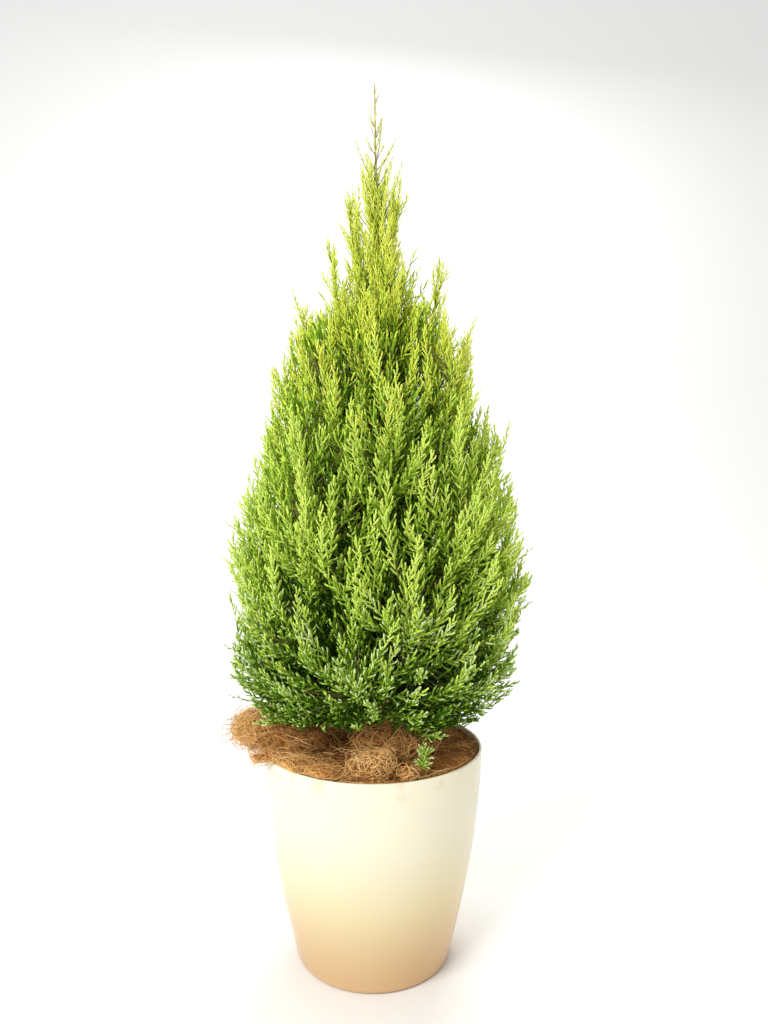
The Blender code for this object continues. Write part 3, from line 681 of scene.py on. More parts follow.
twiglet_rows = {level: [] for level in range(TONE_COUNT)}
nodes_of_tone = {level: set() for level in range(TONE_COUNT)}
twig_paths = []
twig_radii = []
tone_draw = random.Random(SEED + 6)


def tone_of(point, lightness):
    """Which needle tone a twiglet has: lighter towards the top, darker with painted shade deeper inside.
    """
    depth = clamp(foliage_reach(point.z) - reach_of(point), 0.0, DEPTH_MOST)
    depth_shade = blend(*PAINTED_DEPTH_SHADE, passed(point.z, *PAINTED_DEPTH_SHADE_HEIGHTS))
    return float(np.interp(point.z, *zip(*TONE_BY_HEIGHT))) - depth_shade * depth + lightness


def fineness(height, finest):
    """A factor that falls from one to its finest value towards the top of the crown."""
    return blend(1.0, finest, passed(height, *FINE_HEIGHTS))


def add_twiglet(root, heading, length, bend, tone, turn, node, pale=0.0):
    """Writes down both parts of one twiglet, each under its tone."""
    sizes = [abs(length - known) for known in TWIGLET_LENGTHS]
    size_index = COARSE_TWIGLET if length > COARSE_LONG else sizes.index(min(sizes))
    scale = length / TWIGLET_LENGTHS[min(size_index, 2)]
    girth = fineness(root.z, FINE_GIRTH)
    variant = len(twig_paths) % 2
    zone = root.z + tone_draw.uniform(-FAMILY_BLUR, FAMILY_BLUR)
    family = 0 if zone < COOL_BELOW else 1 if zone < LIME_BELOW else 2
    younger = blend(*YOUNG_STEPS, passed(root.z, *YOUNG_STEP_HEIGHTS))
    for young in (0, 1):
        level = int(round(tone + (younger + pale) * young - TONE_DROP))
        level = clamp(level, 0, FIRST_LIGHT + LIGHT_TONES - 1)
        if level >= FIRST_LIGHT:
            level += LIGHT_TONES * family
        row = (*root, *heading, *bend, scale, girth, turn, size_index, variant, young)
        twiglet_rows[level].append(row)
        nodes_of_tone[level].add(node)


print("tones:", len(twiglet_rows))

# %% [markdown]
# ## Sprays
# A spray is a thin twig with twiglets all round it, shorter towards its tip, so that it has the outline
# of a flame. Its twig runs only as far as its twiglets do.

# %% Grow one spray
TWIGLET_STEP = 0.0038
TWIGLET_LONG = 0.0200
TWIGLET_LEAN = (54.0, 33.0)
TWIGLET_CURL = 0.26
TWIGLET_LIFT = 0.10
PALE_SHARE = 0.16
PALE_STEP = 2.4
PALE_HEIGHTS = (0.60, 0.40)
TONE_ALONG = (-0.4, 0.5)
TONE_JITTER = 0.85
TWIG_TIP_RADIUS = 0.0003
TWIG_SHARES = [i / 5.0 for i in range(6)]


def grow_spray(curve, draw, node, lightness=0.0, start=0.10, step=TWIGLET_STEP, long=TWIGLET_LONG,
               thickness=0.0008, free=False):
    """A spray along a curve: its twiglets, and its twig as far as they go. A free one may stand out."""
    end = 1.0 if free else 0.0
    steep = abs(curve.direction(0.5).z) >= 0.8
    hint = Vector((1.0, 0.2, 0.1) if steep else (0.31, 0.52, 0.79))
    count = max(int(curve.length * (1.0 - start) / (step * fineness(curve.controls[2].z, FINE_STEP))), 4)
    turn = draw.uniform(0.0, 2.0 * math.pi)
    for i in range(count + 1):
        along = i / count
        share = blend(start, 1.0, along)
        root = curve.point(share)
        direction = curve.direction(share)
        side, normal = square_to(direction, hint)
        angle = turn + i * GOLDEN_ANGLE
        lean = math.radians(blend(*TWIGLET_LEAN, along) + draw.uniform(-9.0, 9.0))
        lean *= fineness(root.z, FINE_SPREAD)
        if i == count:
            lean = 0.0
        heading = leaned(direction, leaned(side, normal, angle), lean)
        size = long * min(0.6 + 2.4 * along, 1.0) * (1.0 - 0.5 * along ** 1.5) * draw.uniform(0.75, 1.12)
        size *= fineness(root.z, FINE_LENGTH)
        curl = (direction - heading) * (TWIGLET_CURL * size) + UP * (TWIGLET_LIFT * size)
        tip = root + heading * size + curl
        tone = tone_of(tip, lightness + blend(*TONE_ALONG, along) + draw.gauss(0.0, TONE_JITTER))
        pale = PALE_STEP if draw.random() < PALE_SHARE * passed(tip.z, *PALE_HEIGHTS) else 0.0
        roll = draw.uniform(0.0, 2.0 * math.pi)
        inside = free or reach_of(tip) < outline_at(tip)
        if inside and tip.z > floor_at(tip) and reach_of(tip) > trunk_radius(tip.z) + 0.002:
            add_twiglet(root, heading, size, curl, tone, roll, node, pale)
            end = max(end, share)
    if end > 0.0:
        twig_paths.append([curve.point(end * share)[:] for share in TWIG_SHARES])
        twig_radii.append([blend(thickness, TWIG_TIP_RADIUS, end * share) for share in TWIG_SHARES])


# %% [markdown]
# ## Plumes
# A plume's own axis ends in its longest spray, and shorter ones leave it all round, at a golden angle
# from one to the next. They get shorter towards the tip, so the plume tapers to the point that shows
# against the wall.

# %% Grow the plumes' own sprays
SIDE_STEP = 0.0125
SIDE_LENGTHS = (0.078, 0.036)
SIDE_LEANS = (42.0, 20.0)
SIDE_LIFT = 0.60
SPRAY_LIFT = 0.15
SIDE_LIGHTNESS = (0.1, 0.3)
TOP_CROWDING = 0.55
SPIRE_CROWDING = 1.1
AXIS_FROM = 0.46
AXIS_LIGHTNESS = 0.4
AXIS_THICKNESS = 0.0016


def straight_spray(root, heading, length, lift):
    """A curve from a root along a heading, whose tip is lifted by a share of its length."""
    tip = root + (heading + UP * lift).normalized() * length
    return Curve(root, root + heading * (0.5 * length), tip)


def grow_foliage(plume):
    """The sprays of one plume's outer half."""
    draw = plume.draw
    crowding = SPIRE_CROWDING if plume in spires else fineness(plume.controls[2].z, TOP_CROWDING)
    count = int(plume.length * (0.96 - AXIS_FROM) / SIDE_STEP * crowding)
    for i in range(count):
        along = (i + draw.uniform(0.2, 0.8)) / count
        share = blend(AXIS_FROM, 0.95, along)
        direction = plume.direction(share)
        side, normal = square_to(direction, plume.side)
        angle = i * GOLDEN_ANGLE + draw.uniform(-0.4, 0.4)
        lean = math.radians(blend(*SIDE_LEANS, along) + draw.uniform(-7.0, 7.0))
        heading = leaned(direction, leaned(side, normal, angle), lean)
        heading += UP * SIDE_LIFT * draw.uniform(0.3, 1.2)
        length = blend(*SIDE_LENGTHS, along ** 0.8) * blend(0.6, 1.0, plume.slimness)
        length *= draw.uniform(0.82, 1.15)
        spray = straight_spray(plume.point(share), heading.normalized(), length, SPRAY_LIFT)
        grow_spray(spray, draw, plume.node, draw.gauss(*SIDE_LIGHTNESS))
    start = plume.point(AXIS_FROM)
    elbow = start + (plume.controls[1] * (1.0 - AXIS_FROM) + plume.controls[2] * AXIS_FROM - start)
    axis = Curve(start, elbow, plume.point(1.0))
    grow_spray(axis, draw, plume.node, AXIS_LIGHTNESS, start=0.1, thickness=AXIS_THICKNESS)


for plume in plumes:
    grow_foliage(plume)
print("sprays on the plumes:", len(twig_paths))

# %% [markdown]
# ## The crown's surface
# Between the plumes the crown is closed by about a thousand more sprays. They follow the plumes' own
# rule on a finer scale: their tips are spread evenly over the outline, a golden angle apart, and each
# spray grows from the nearest limb below it and bends up. Low sprays lie nearly flat, higher ones stand
# ever steeper. The tips are drawn together into tufts, and far from a tuft the surface lies a little
# deeper and is darkened by painted shade, which leaves clefts.

# %% Grow the sprays of the surface
SURFACE_SPRAYS = 1050
SURFACE_HEIGHTS = (0.318, 1.080)
SURFACE_LENGTHS = (0.082, 0.057)
TUFT_COUNT = 120
TUFT_STRETCH = 0.40
TUFT_ROOM = 0.030
TUFT_PULL = 0.50
CLEFT_DEPTH = 0.032
PAINTED_CLEFT_SHADE = 3.6
CLEFT_FROM = 0.1
SURFACE_LIGHTNESS = (1.8, 0.3)
SHORTER_HEIGHTS = (0.55, 1.10)
STEEPNESS = (
    (0.30, 0.0),
    (0.36, 26.0),
    (0.42, 48.0),
    (0.52, 63.0),
    (0.65, 71.0),
    (0.80, 76.0),
    (1.20, 79.0),
)


def steepness(height):
    """The angle above level at which sprays stand at a height."""
    heights, angles = zip(*STEEPNESS)
    return math.radians(float(np.interp(height, heights, angles)))


def surface_heights(count):
    """Heights that share the outline's surface out evenly among a count of tips."""
    heights = np.linspace(*SURFACE_HEIGHTS, 400)
    reaches = np.array([foliage_reach(height) + 0.025 for height in heights])
    strips = np.hypot(np.diff(heights), np.diff(reaches)) * (reaches[1:] + reaches[:-1])
    covered = np.concatenate([[0.0], np.cumsum(strips)])
    wanted = (np.arange(count) + 0.5) / count * covered[-1]
    return np.interp(wanted, covered, heights)


limb_points = []
limb_nodes = []
for plume in plumes:
    for i in range(26):
        limb_points.append(plume.point(i / 27.0)[:])
        limb_nodes.append(plume.node)
for height in np.linspace(0.34, 1.10, 60):
    limb_points.append(trunk_centre(height)[:])
    limb_nodes.append("leader_shoot")
limb_points = np.array(limb_points)
tufts = [plume.point(0.97) for plume in plumes]
for i, height in enumerate(surface_heights(TUFT_COUNT)):
    tufts.append(place(i * GOLDEN_ANGLE + 1.0, foliage_reach(height), float(height)))
tufts = np.array([tuft[:] for tuft in tufts])


def nearest_limb(point):
    """The place on the limbs' lines that is nearest to a point, and its solid's name."""
    nearest = int(np.argmin(((limb_points - np.array(point[:])) ** 2).sum(axis=1)))
    return Vector(limb_points[nearest]), limb_nodes[nearest]


def grow_surface(index, height, draw):
    """One spray whose tip lies on the crown's surface."""
    azimuth = index * GOLDEN_ANGLE + draw.uniform(-0.08, 0.08)
    tip = place(azimuth, foliage_reach(height), height)
    away = (tufts - np.array(tip[:])) * (1.0, 1.0, TUFT_STRETCH)
    rooms = np.linalg.norm(away, axis=1)
    own = int(np.argmin(rooms))
    cleft = min(rooms[own] / TUFT_ROOM, 1.0) ** 1.5 * min(foliage_reach(height) / CLEFT_FROM, 1.0)
    towards_tuft = math.remainder(math.atan2(tufts[own][1], tufts[own][0]) - azimuth, 2.0 * math.pi)
    azimuth += TUFT_PULL * towards_tuft
    reach = foliage_reach(height) - CLEFT_DEPTH * cleft + 0.5 * slack_at(tip)
    tip = place(azimuth, max(reach, 0.006), height)
    rise = steepness(height) + math.radians(draw.gauss(0.0, 7.0))
    heading = risen(azimuth + math.radians(draw.gauss(0.0, 20.0)), rise)
    leafy = blend(*SURFACE_LENGTHS, passed(height, *SHORTER_HEIGHTS))
    leafy *= draw.uniform(0.8, 1.15)
    root, node = nearest_limb(tip - heading * leafy * 1.1)
    curve = Curve(root, tip - heading * (0.55 * (tip - root).length), tip)
    # Painted shade: sprays in a cleft get darker tones.
    lightness = draw.gauss(*SURFACE_LIGHTNESS) - PAINTED_CLEFT_SHADE * cleft
    grow_spray(curve, draw, node, lightness, start=max(1.0 - leafy / curve.length, 0.05))


surface_draw = random.Random(SEED + 5)
for index, height in enumerate(surface_heights(SURFACE_SPRAYS)):
    grow_surface(index, float(height), surface_draw)
print("sprays with the surface:", len(twig_paths))

# %% [markdown]
# ## Near the trunk
# Sprays near the trunk and on the inner boughs get little light, so they are thin, and their dark tones
# are painted shade. Two more layers of such sprays stand between the trunk and the surface. They all
# close the view into the crown, and coarser twiglets are enough for them.

# %% Grow the dark sprays near the trunk
INNER_COUNT = 290
SHADED_COUNT = 7
MIDDLE_LAYERS = ((0.70, 300), (0.40, 170))
INNER_HEIGHTS = (0.312, 0.930)
INNER_LENGTH = 0.130
# Painted shade: the dark tones of the sprays near the trunk and of the middle layers.
INNER_LIGHTNESS = -2.2
MIDDLE_LIGHTNESS = -1.7
SHADED_LIGHTNESS = -1.5
INNER_TWIGLETS = {"step": 0.0076, "long": 0.030}


def grow_inner(index, draw):
    """One dark spray that leaves the trunk between the boughs."""
    share = (index + 0.5) / INNER_COUNT
    height = blend(*INNER_HEIGHTS, share ** 1.2)
    out = level_at(index * GOLDEN_ANGLE)
    heading = (out + UP * blend(0.10, 1.3, share ** 0.7) * draw.uniform(0.6, 1.4)).normalized()
    length = min(INNER_LENGTH, 0.80 * foliage_reach(height)) * draw.uniform(0.6, 1.15)
    root = trunk_centre(height) + out * trunk_radius(height)
    spray = straight_spray(root, heading, length, SPRAY_LIFT)
    grow_spray(spray, draw, "leader_shoot", INNER_LIGHTNESS, start=0.15, **INNER_TWIGLETS)


def grow_shaded(plume, draw):
    """Dark sprays that stand on a plume's inner half."""
    for i in range(SHADED_COUNT):
        share = blend(0.22, 0.80, (i + 0.5) / SHADED_COUNT)
        turn = draw.uniform(-1.3, 1.3)
        outward = (plume.controls[2] - plume.controls[0]).normalized()
        heading = outward * math.cos(turn) * 0.6 + plume.side * math.sin(turn)
        heading += UP * draw.uniform(0.3, 1.1)
        length = draw.uniform(0.05, 0.09)
        spray = straight_spray(plume.point(share), heading.normalized(), length, SPRAY_LIFT)
        grow_spray(spray, draw, plume.node, SHADED_LIGHTNESS, start=0.1, **INNER_TWIGLETS)


def grow_middle(layer, index, height, draw):
    """One dark spray whose tip lies at a layer's share of the crown's reach."""
    azimuth = index * GOLDEN_ANGLE + 0.4
    tip = place(azimuth, layer * foliage_reach(height) * draw.uniform(0.85, 1.15), height)
    heading = risen(azimuth, steepness(height))
    root = tip - heading * draw.uniform(0.06, 0.09)
    spray = straight_spray(root, heading, (tip - root).length, 0.1)
    grow_spray(spray, draw, "leader_shoot", MIDDLE_LIGHTNESS, start=0.05, **INNER_TWIGLETS)


inner_draw = random.Random(SEED + 1)
for i in range(INNER_COUNT):
    grow_inner(i, inner_draw)
for layer, layer_count in MIDDLE_LAYERS:
    for i, height in enumerate(surface_heights(layer_count)):
        grow_middle(layer, i, float(height), inner_draw)
for plume in plumes:
    grow_shaded(plume, inner_draw)
print("sprays with the inner ones:", len(twig_paths))

# %% [markdown]
# ## The leader
# Above the plumes the leader is one thin shoot. Short, steep branchlets leave it, ever shorter and
# sparser, and the top few centimetres carry only single twiglets.

# %% Grow the leader's branchlets
LEADER_COUNT = 28
LEADER_LOW = 0.930
LEADER_HIGH = 1.125
LEADER_LENGTHS = (0.060, 0.026)
LEADER_LEAN = 28.0
LEADER_LIGHTNESS = 0.2
LEADER_STEP = 0.0036
LEADER_THICKNESS = 0.0006
TIP_TWIGLETS = 10
TIP_TONE = 6.0


def grow_leader(draw):
    """The branchlets and single twiglets along the leader."""
    for i in range(LEADER_COUNT):
        share = (i + 0.5) / LEADER_COUNT
        height = blend(LEADER_LOW, LEADER_HIGH, share)
        lean = math.radians(LEADER_LEAN + draw.uniform(-6.0, 8.0))
        heading = leaned(UP, level_at(i * GOLDEN_ANGLE + 0.6), lean)
        length = blend(*LEADER_LENGTHS, share) * draw.uniform(0.8, 1.2)
        spray = straight_spray(trunk_centre(height), heading, length, 0.1)
        grow_spray(spray, draw, "leader_shoot", LEADER_LIGHTNESS, start=blend(0.10, 0.45, share),
                   step=LEADER_STEP, long=blend(0.018, 0.010, share ** 0.7), thickness=LEADER_THICKNESS)
    for i in range(TIP_TWIGLETS):
        share = i / (TIP_TWIGLETS - 1.0)
        height = blend(LEADER_HIGH - 0.004, LEADER_TIP - 0.008, share)
        angle = i * GOLDEN_ANGLE
        lean = math.radians(LEADER_LEAN + draw.uniform(0.0, 20.0)) if i < TIP_TWIGLETS - 1 else 0.0
        heading = leaned(UP, level_at(angle), lean)
        size = blend(0.010, 0.007, share)
        add_twiglet(trunk_centre(height), heading, size, UP * 0.0, TIP_TONE, angle, "leader_shoot")


grow_leader(random.Random(SEED + 2))
print("sprays with the leader's:", len(twig_paths))

# %% [markdown]
# ## Shoots that stand out
# A plant's outline is never quite shut. A few thin, sparsely leaved whiskers stand out of it all round,
# and some shoots are placed where the picture shows them: beside the spires and along the leader. Each
# is a spray like the others, which is let past the outline.

# %% Grow the shoots that stand out
WHISKER_COUNT = 34
WHISKER_HEIGHTS = (0.36, 0.62)
WHISKER_OUT = (0.004, 0.014)
WHISKER_LENGTHS = (0.06, 0.09)
WHISKER_SAG = 0.008
OUTER_LIGHTNESS = -0.2
# Azimuth, reach and height of the root, reach and height of the tip, and length of the twiglets.
PLACED_SHOOTS = (
    (176.0, 0.094, 0.850, 0.114, 0.911, 0.016),
    (3.0, 0.108, 0.822, 0.133, 0.872, 0.016),
    (-3.0, 0.139, 0.621, 0.177, 0.727, 0.016),
    (25.0, 0.0, 1.067, 0.031, 1.117, 0.013),
    (215.0, 0.0, 1.047, 0.032, 1.100, 0.013),
    (10.0, 0.0, 1.110, 0.010, 1.139, 0.010),
    (170.0, 0.0, 1.126, 0.009, 1.139, 0.008),
    (190.0, 0.0, 1.090, 0.010, 1.100, 0.008),
    (160.0, 0.008, 0.990, 0.044, 1.049, 0.016),
    (-30.0, 0.006, 1.000, 0.040, 1.070, 0.016),
    (50.0, 0.0, 1.045, 0.036, 1.098, 0.014),
    (-70.0, 0.0, 1.075, 0.026, 1.120, 0.013),
    (110.0, 0.0, 1.020, 0.036, 1.085, 0.014),
    (0.0, 0.0, 1.156, 0.005, 1.169, 0.007),
)


def grow_whisker(index, draw):
    """One thin, sparsely leaved twig that stands out of the crown's outline."""
    height = draw.uniform(*WHISKER_HEIGHTS)
    azimuth = index * GOLDEN_ANGLE + 2.6
    tip = place(azimuth, crown_radius(height) + draw.uniform(*WHISKER_OUT), height)
    heading = risen(azimuth, 0.5 * steepness(height))
    root = tip - heading * draw.uniform(*WHISKER_LENGTHS)
    bend = root + heading * 0.04 - UP * draw.uniform(0.0, WHISKER_SAG)
    grow_spray(Curve(root, bend, tip), draw, "plume_30", OUTER_LIGHTNESS, start=0.5, step=0.006,
               long=0.011, thickness=0.0010, free=True)


def grow_placed(degrees, root_reach, root_height, tip_reach, tip_height, long, draw):
    """One shoot from a given root to a given tip, bowed a little outwards."""
    azimuth = math.radians(degrees)
    root = place(azimuth, root_reach, root_height)
    tip = place(azimuth, tip_reach, tip_height)
    bend = place(azimuth, blend(root_reach, tip_reach, 0.6), blend(root_height, tip_height, 0.4))
    grow_spray(Curve(root, bend, tip), draw, "leader_shoot", OUTER_LIGHTNESS, start=0.3, step=0.0042,
               long=long, thickness=0.0009, free=True)


whisker_draw = random.Random(SEED + 7)
for i in range(WHISKER_COUNT):
    grow_whisker(i, whisker_draw)
for shoot in PLACED_SHOOTS:
    grow_placed(*shoot, whisker_draw)
print("shoots that stand out:", WHISKER_COUNT + len(PLACED_SHOOTS))

# %% [markdown]
# ## A low sprig in front
# At the front right a small, very fresh sprig stands up out of the coir. It is a fan of twiglets on a
# short stem, lighter than the shaded foliage behind it.

# %% Grow the low sprig
SPRIG_PLACE = (0.064, -0.116, 0.290)
SPRIG_TALL = 0.026
SPRIG_THICKNESS = 0.0008
SPRIG_TWIGLETS = 34
SPRIG_TONES = (3.0, 5.2)


def grow_sprig(draw):
    """A fan of fresh twiglets on a short stem."""
    root = Vector(SPRIG_PLACE)
    for i in range(SPRIG_TWIGLETS):
        angle = i * GOLDEN_ANGLE
        heading = leaned(UP, level_at(angle), math.radians(draw.uniform(10.0, 76.0)))
        size = draw.uniform(0.013, 0.020)
        start = root + UP * draw.uniform(0.006, 0.030)
        tone = draw.uniform(*SPRIG_TONES)
        add_twiglet(start, heading, size, -UP * (0.2 * size), tone, angle, "plume_36")
    twig_paths.append([(root + UP * (SPRIG_TALL * share))[:] for share in TWIG_SHARES])
    twig_radii.append([SPRIG_THICKNESS] * len(TWIG_SHARES))


grow_sprig(random.Random(SEED + 3))
print("twiglets of the sprig:", SPRIG_TWIGLETS)

# %% [markdown]
# ## Closing the view through the crown
# A real crown is dark inside, since its old shoots hide the far side. Here the wall could still show
# through in a few places. So the crown is looked at from eight sides. Every twiglet is drawn as a row of
# dots on a coarse picture, and where a picture stays empty well inside the outline, one more shaded
# twiglet grows across the gap, on a twig from the nearest limb.

# %% Find the gaps and close them
LOOK_SIDES = 8
LOOK_CELL = 0.0015
LOOK_HALF = 160
LOOK_ROWS = 800
LOOK_LOW = 0.35
LOOK_HIGH = 0.97
LOOK_SHARE = 0.86
DOTS = 12
GAP_LENGTH = 0.026
GAP_DEEP = 0.35
# Painted shade: the dark tones of the twiglets that close gaps.
GAP_LIGHTNESS = (-2.6, -1.6)
GAP_INSIDE = 0.004
GAP_BEND = 0.001
GAP_THICKNESS = 0.0006
TWIG_FALL = 0.045


def dots_along(rows):
    """Points along the twiglets in an array of rows."""
    lengths = rows[:, 9] * np.array(TWIGLET_LENGTHS)[np.minimum(rows[:, 12], 2).astype(int)]
    way = np.linspace(0.0, 1.0, DOTS)[None, :, None]
    along = unit(rows[:, 3:6])[:, None] * lengths[:, None, None]
    return (rows[:, None, 0:3] + along * way + rows[:, None, 6:9] * way ** 2).reshape(-1, 3)


def draw_dots(picture, points, eye, ahead, aside):
    """Marks the cells of a picture, taken from an eye, that points fall on."""
    away = points - eye
    zoom = -(eye @ ahead) / (away @ ahead)
    across = ((away @ aside) * zoom + eye @ aside) / LOOK_CELL + LOOK_HALF - 0.5
    up = (away[:, 2] * zoom + eye[2]) / LOOK_CELL - 0.5
    across = np.clip(across.astype(int), 0, 2 * LOOK_HALF - 2)
    up = np.clip((up + 0.5).astype(int), 0, LOOK_ROWS - 1)
    picture[up, across] = True
    picture[up, across + 1] = True


def close_gap(offset, height, eye, aside, draw):
    """One shaded twiglet across the line of sight that meets the trunk's plane at a given place."""
    reach = foliage_reach(height)
    deep = draw.uniform(-GAP_DEEP, GAP_DEEP) * math.sqrt(max(reach ** 2 - offset ** 2, 0.0))
    sight = aside * offset + np.array((0.0, 0.0, height)) - eye
    spot = Vector(eye + sight * (1.0 + deep / np.linalg.norm(eye[:2])))
    azimuth = math.atan2(spot.y, spot.x) + draw.uniform(-0.5, 0.5)
    heading = risen(azimuth, steepness(height) * draw.uniform(0.6, 1.1))
    root = spot - heading * (0.5 * GAP_LENGTH)
    tip = spot + heading * (0.5 * GAP_LENGTH)
    outside = reach_of(tip) > foliage_reach(tip.z) - GAP_INSIDE or tip.z < floor_at(tip)
    if outside or reach_of(root) < 0.01:
        return None
    limb, node = nearest_limb(root - UP * TWIG_FALL)
    twig_paths.append([limb.lerp(root, share)[:] for share in TWIG_SHARES])
    twig_radii.append([GAP_THICKNESS] * len(TWIG_SHARES))
    tone = tone_of(spot, draw.uniform(*GAP_LIGHTNESS))
    add_twiglet(root, heading, GAP_LENGTH, UP * GAP_BEND, tone, draw.uniform(0.0, 6.0), node)
    scale = GAP_LENGTH / TWIGLET_LENGTHS[-1]
    return np.array([(*root, *heading, 0.0, 0.0, GAP_BEND, scale, 0, 0, COARSE_TWIGLET)])


def close_gaps(draw):
    """Looks at the crown from all sides and closes the gaps. Returns how many twiglets that takes."""
    dots = dots_along(np.array([row for rows in twiglet_rows.values() for row in rows if not row[-1]]))
    reaches = np.array([foliage_reach((i + 0.5) * LOOK_CELL) for i in range(LOOK_ROWS)])
    offsets = (np.arange(2 * LOOK_HALF) - LOOK_HALF + 0.5) * LOOK_CELL
    heights = (np.arange(LOOK_ROWS) + 0.5) * LOOK_CELL
    within = np.abs(offsets)[None] < LOOK_SHARE * reaches[:, None] - GAP_INSIDE
    within &= ((heights > LOOK_LOW) & (heights < LOOK_HIGH))[:, None]
    used = []
    for side in range(LOOK_SIDES):
        angle = 2.0 * math.pi * side / LOOK_SIDES - 0.5 * math.pi
        ahead = np.array((-math.cos(angle), -math.sin(angle), 0.0))
        aside = np.array((-math.sin(angle), math.cos(angle), 0.0))
        eye = ahead * CAMERA_PLACE[1] + aside * CAMERA_PLACE[0]
        eye[2] = CAMERA_PLACE[2]
        picture = np.zeros((LOOK_ROWS, 2 * LOOK_HALF), bool)
        draw_dots(picture, dots, eye, ahead, aside)
        used.append(0)
        for row, column in np.argwhere(within & ~picture):
            if not picture[row, column]:
                picture[row, column] = True
                grown = close_gap(offsets[column], heights[row], eye, aside, draw)
                if grown is not None:
                    made = dots_along(grown)
                    draw_dots(picture, made, eye, ahead, aside)
                    dots = np.concatenate([dots, made])
                    used[-1] += 1
    return used


print("gaps closed:", close_gaps(random.Random(SEED + 8)))
print("sprays:", len(twig_paths), "twiglets:", sum(len(rows) for rows in twiglet_rows.values()) // 2)

# %% [markdown]
# ## From rows to needles
# Each template is copied to its rows in one sweep of array arithmetic: three unit vectors for each row
# turn the template's points, the scale sizes them, and the bend grows with the square of the way along.
# Every tone becomes its own piece or pieces of under 200,000 triangles, with one plain colour, so that a
# colour stays with its spray.

# %% Needle tones, from the shaded inside to the newest growth
NEEDLE_TONES = (
    ("shade", "375E0C", "green_needles"),
    ("deep", "507A16", "green_needles"),
    ("moss", "729A26", "green_needles"),
    ("leaf", "94B836", "green_needles"),
    ("fresh", "AACE52", "green_needles"),
    ("mint", "C6E278", "green_needles"),
    ("frosted", "DEF0A8", "green_needles"),
    ("lime", "AED042", "lime_needles"),
    ("bright", "C6E052", "lime_needles"),
    ("pale", "DAF070", "lime_needles"),
    ("citrus", "C6DC3C", "golden_needles"),
    ("golden", "DAE94A", "golden_needles"),
    ("cream", "E8F166", "golden_needles"),
)
PIECE_LIMIT = 190000
PIECE_MARGIN = 1.12


def placed(points, length, rows):
    """The points of a template copied to every row."""
    roots, along, bends = rows[:, 0:3], unit(rows[:, 3:6]), rows[:, 6:9]
    scales, girths, turns = rows[:, 9], rows[:, 10, None, None], rows[:, 11]
    side = unit(np.cross(hint_for(along), along))
    normal = np.cross(along, side)
    cos, sin = np.cos(turns)[:, None], np.sin(turns)[:, None]
    across, back = cos * side + sin * normal, cos * normal - sin * side
    x, y, z = (points[:, axis][None, :, None] for axis in range(3))
    shape = (x * across[:, None] + y * back[:, None]) * girths + z * along[:, None]
    way = np.maximum(z / length, 0.0)
    return roots[:, None] + shape * scales[:, None, None] + bends[:, None] * way ** 2


def needle_arrays(rows):
    """Points and triangles of all the twiglet parts in an array of rows."""
    all_points = []
    all_triangles = []
    used = 0
    for kind, (points, triangles) in templates.items():
        own = rows[(rows[:, 12:15] == kind).all(axis=1)]
        world = placed(points, TWIGLET_LENGTHS[min(kind[0], 2)], own)
        offsets = used + np.arange(len(own))[:, None, None] * len(points)
        all_points.append(world.reshape(-1, 3))
        all_triangles.append((triangles[None] + offsets).reshape(-1, 3))
        used += len(own) * len(points)
    return np.concatenate(all_points), np.concatenate(all_triangles)


def needle_material(name, colour):
    """Waxy needle skin: a satin surface with a soft highlight, in one plain tone."""
    finish = {"Roughness": 0.62, "IOR": 1.42, "Specular_IOR_Level": 0.10}
    return principled("needles_" + name, Base_Color=linear(colour), **finish)[0]


# %% Build the needles
needle_total = 0
part_triangles = sum(len(triangles) for _, triangles in templates.values()) / len(templates)
for level, (tone_name, tone_colour, tone_slot) in enumerate(NEEDLE_TONES):
    rows = np.array(sorted(twiglet_rows[level], key=lambda row: row[2]))
    tone_material = needle_material(tone_name, tone_colour)
    parts = 1 + int(PIECE_MARGIN * part_triangles * len(rows) / PIECE_LIMIT)
    for part, chunk in enumerate(np.array_split(rows, parts)):
        needle_name = "needles_%s_%d" % (tone_name, part + 1)
        arrays = needle_arrays(chunk)
        needle_total += len(arrays[1])
        piece(needle_name, arrays, tone_material, nodes_of_tone[level], smooth=False)
print("needle triangles in all:", needle_total)

# %% [markdown]
# ## Bark
# The trunk of a young cypress is grey-brown, flakes in thin upright strips and swells into lobes where
# it meets the soil. A circle of points is extruded upward ring by ring along the trunk's line, and a
# noise stretched upright pushes the skin in and out by a few tenths of a millimetre. The boughs are
# extruded the same way, each with a collar where it leaves the trunk.

# %% Model the trunk and the boughs
TRUNK_SIDES = 28
TRUNK_RINGS = 90
BOUGH_SIDES = 8
BOUGH_RINGS = 16
BOUGH_REACH = 0.86
BOUGH_END_RADIUS = 0.0009
COLLAR_FALL = 0.006
BARK_RELIEF = 0.0006
BARK_STRIP = 0.0035


def extrude_limb(bm, stations, sides):
    """Extrudes a ring along (centre, direction, radius) stations, and closes both ends."""
    ring = list(bmesh.ops.create_circle(bm, cap_ends=True, segments=sides, radius=1.0)["verts"])
    faces = [face for face in bm.faces if all(vert in ring for vert in face.verts)]
    rings = [ring]
    for _ in stations[1:]:
        made = bmesh.ops.extrude_face_region(bm, geom=faces)["geom"]
        old = faces
        faces = [item for item in made if isinstance(item, bmesh.types.BMFace)]
        if len(rings) > 1:
            bmesh.ops.delete(bm, geom=old, context="FACES_ONLY")
        ring = [item for item in made if isinstance(item, bmesh.types.BMVert)]
        rings.append(sorted(ring, key=lambda vert: math.atan2(vert.co.y, vert.co.x)))
    for ring, (centre, direction, radius) in zip(rings, stations):
        turn = direction.to_track_quat("Z", "Y").to_matrix()
        for vert in ring:
            vert.co = centre + turn @ (vert.co * radius)
    return rings


def roughen(bm, depth):
    """Pushes the skin along its normals by a noise stretched along Z, as flaking strips."""
    bm.normal_update()
    for vert in bm.verts:
        spot = Vector((vert.co.x / BARK_STRIP, vert.co.y / BARK_STRIP, vert.co.z / (6.0 * BARK_STRIP)))
        vert.co += vert.normal * (depth * noise.noise(spot))


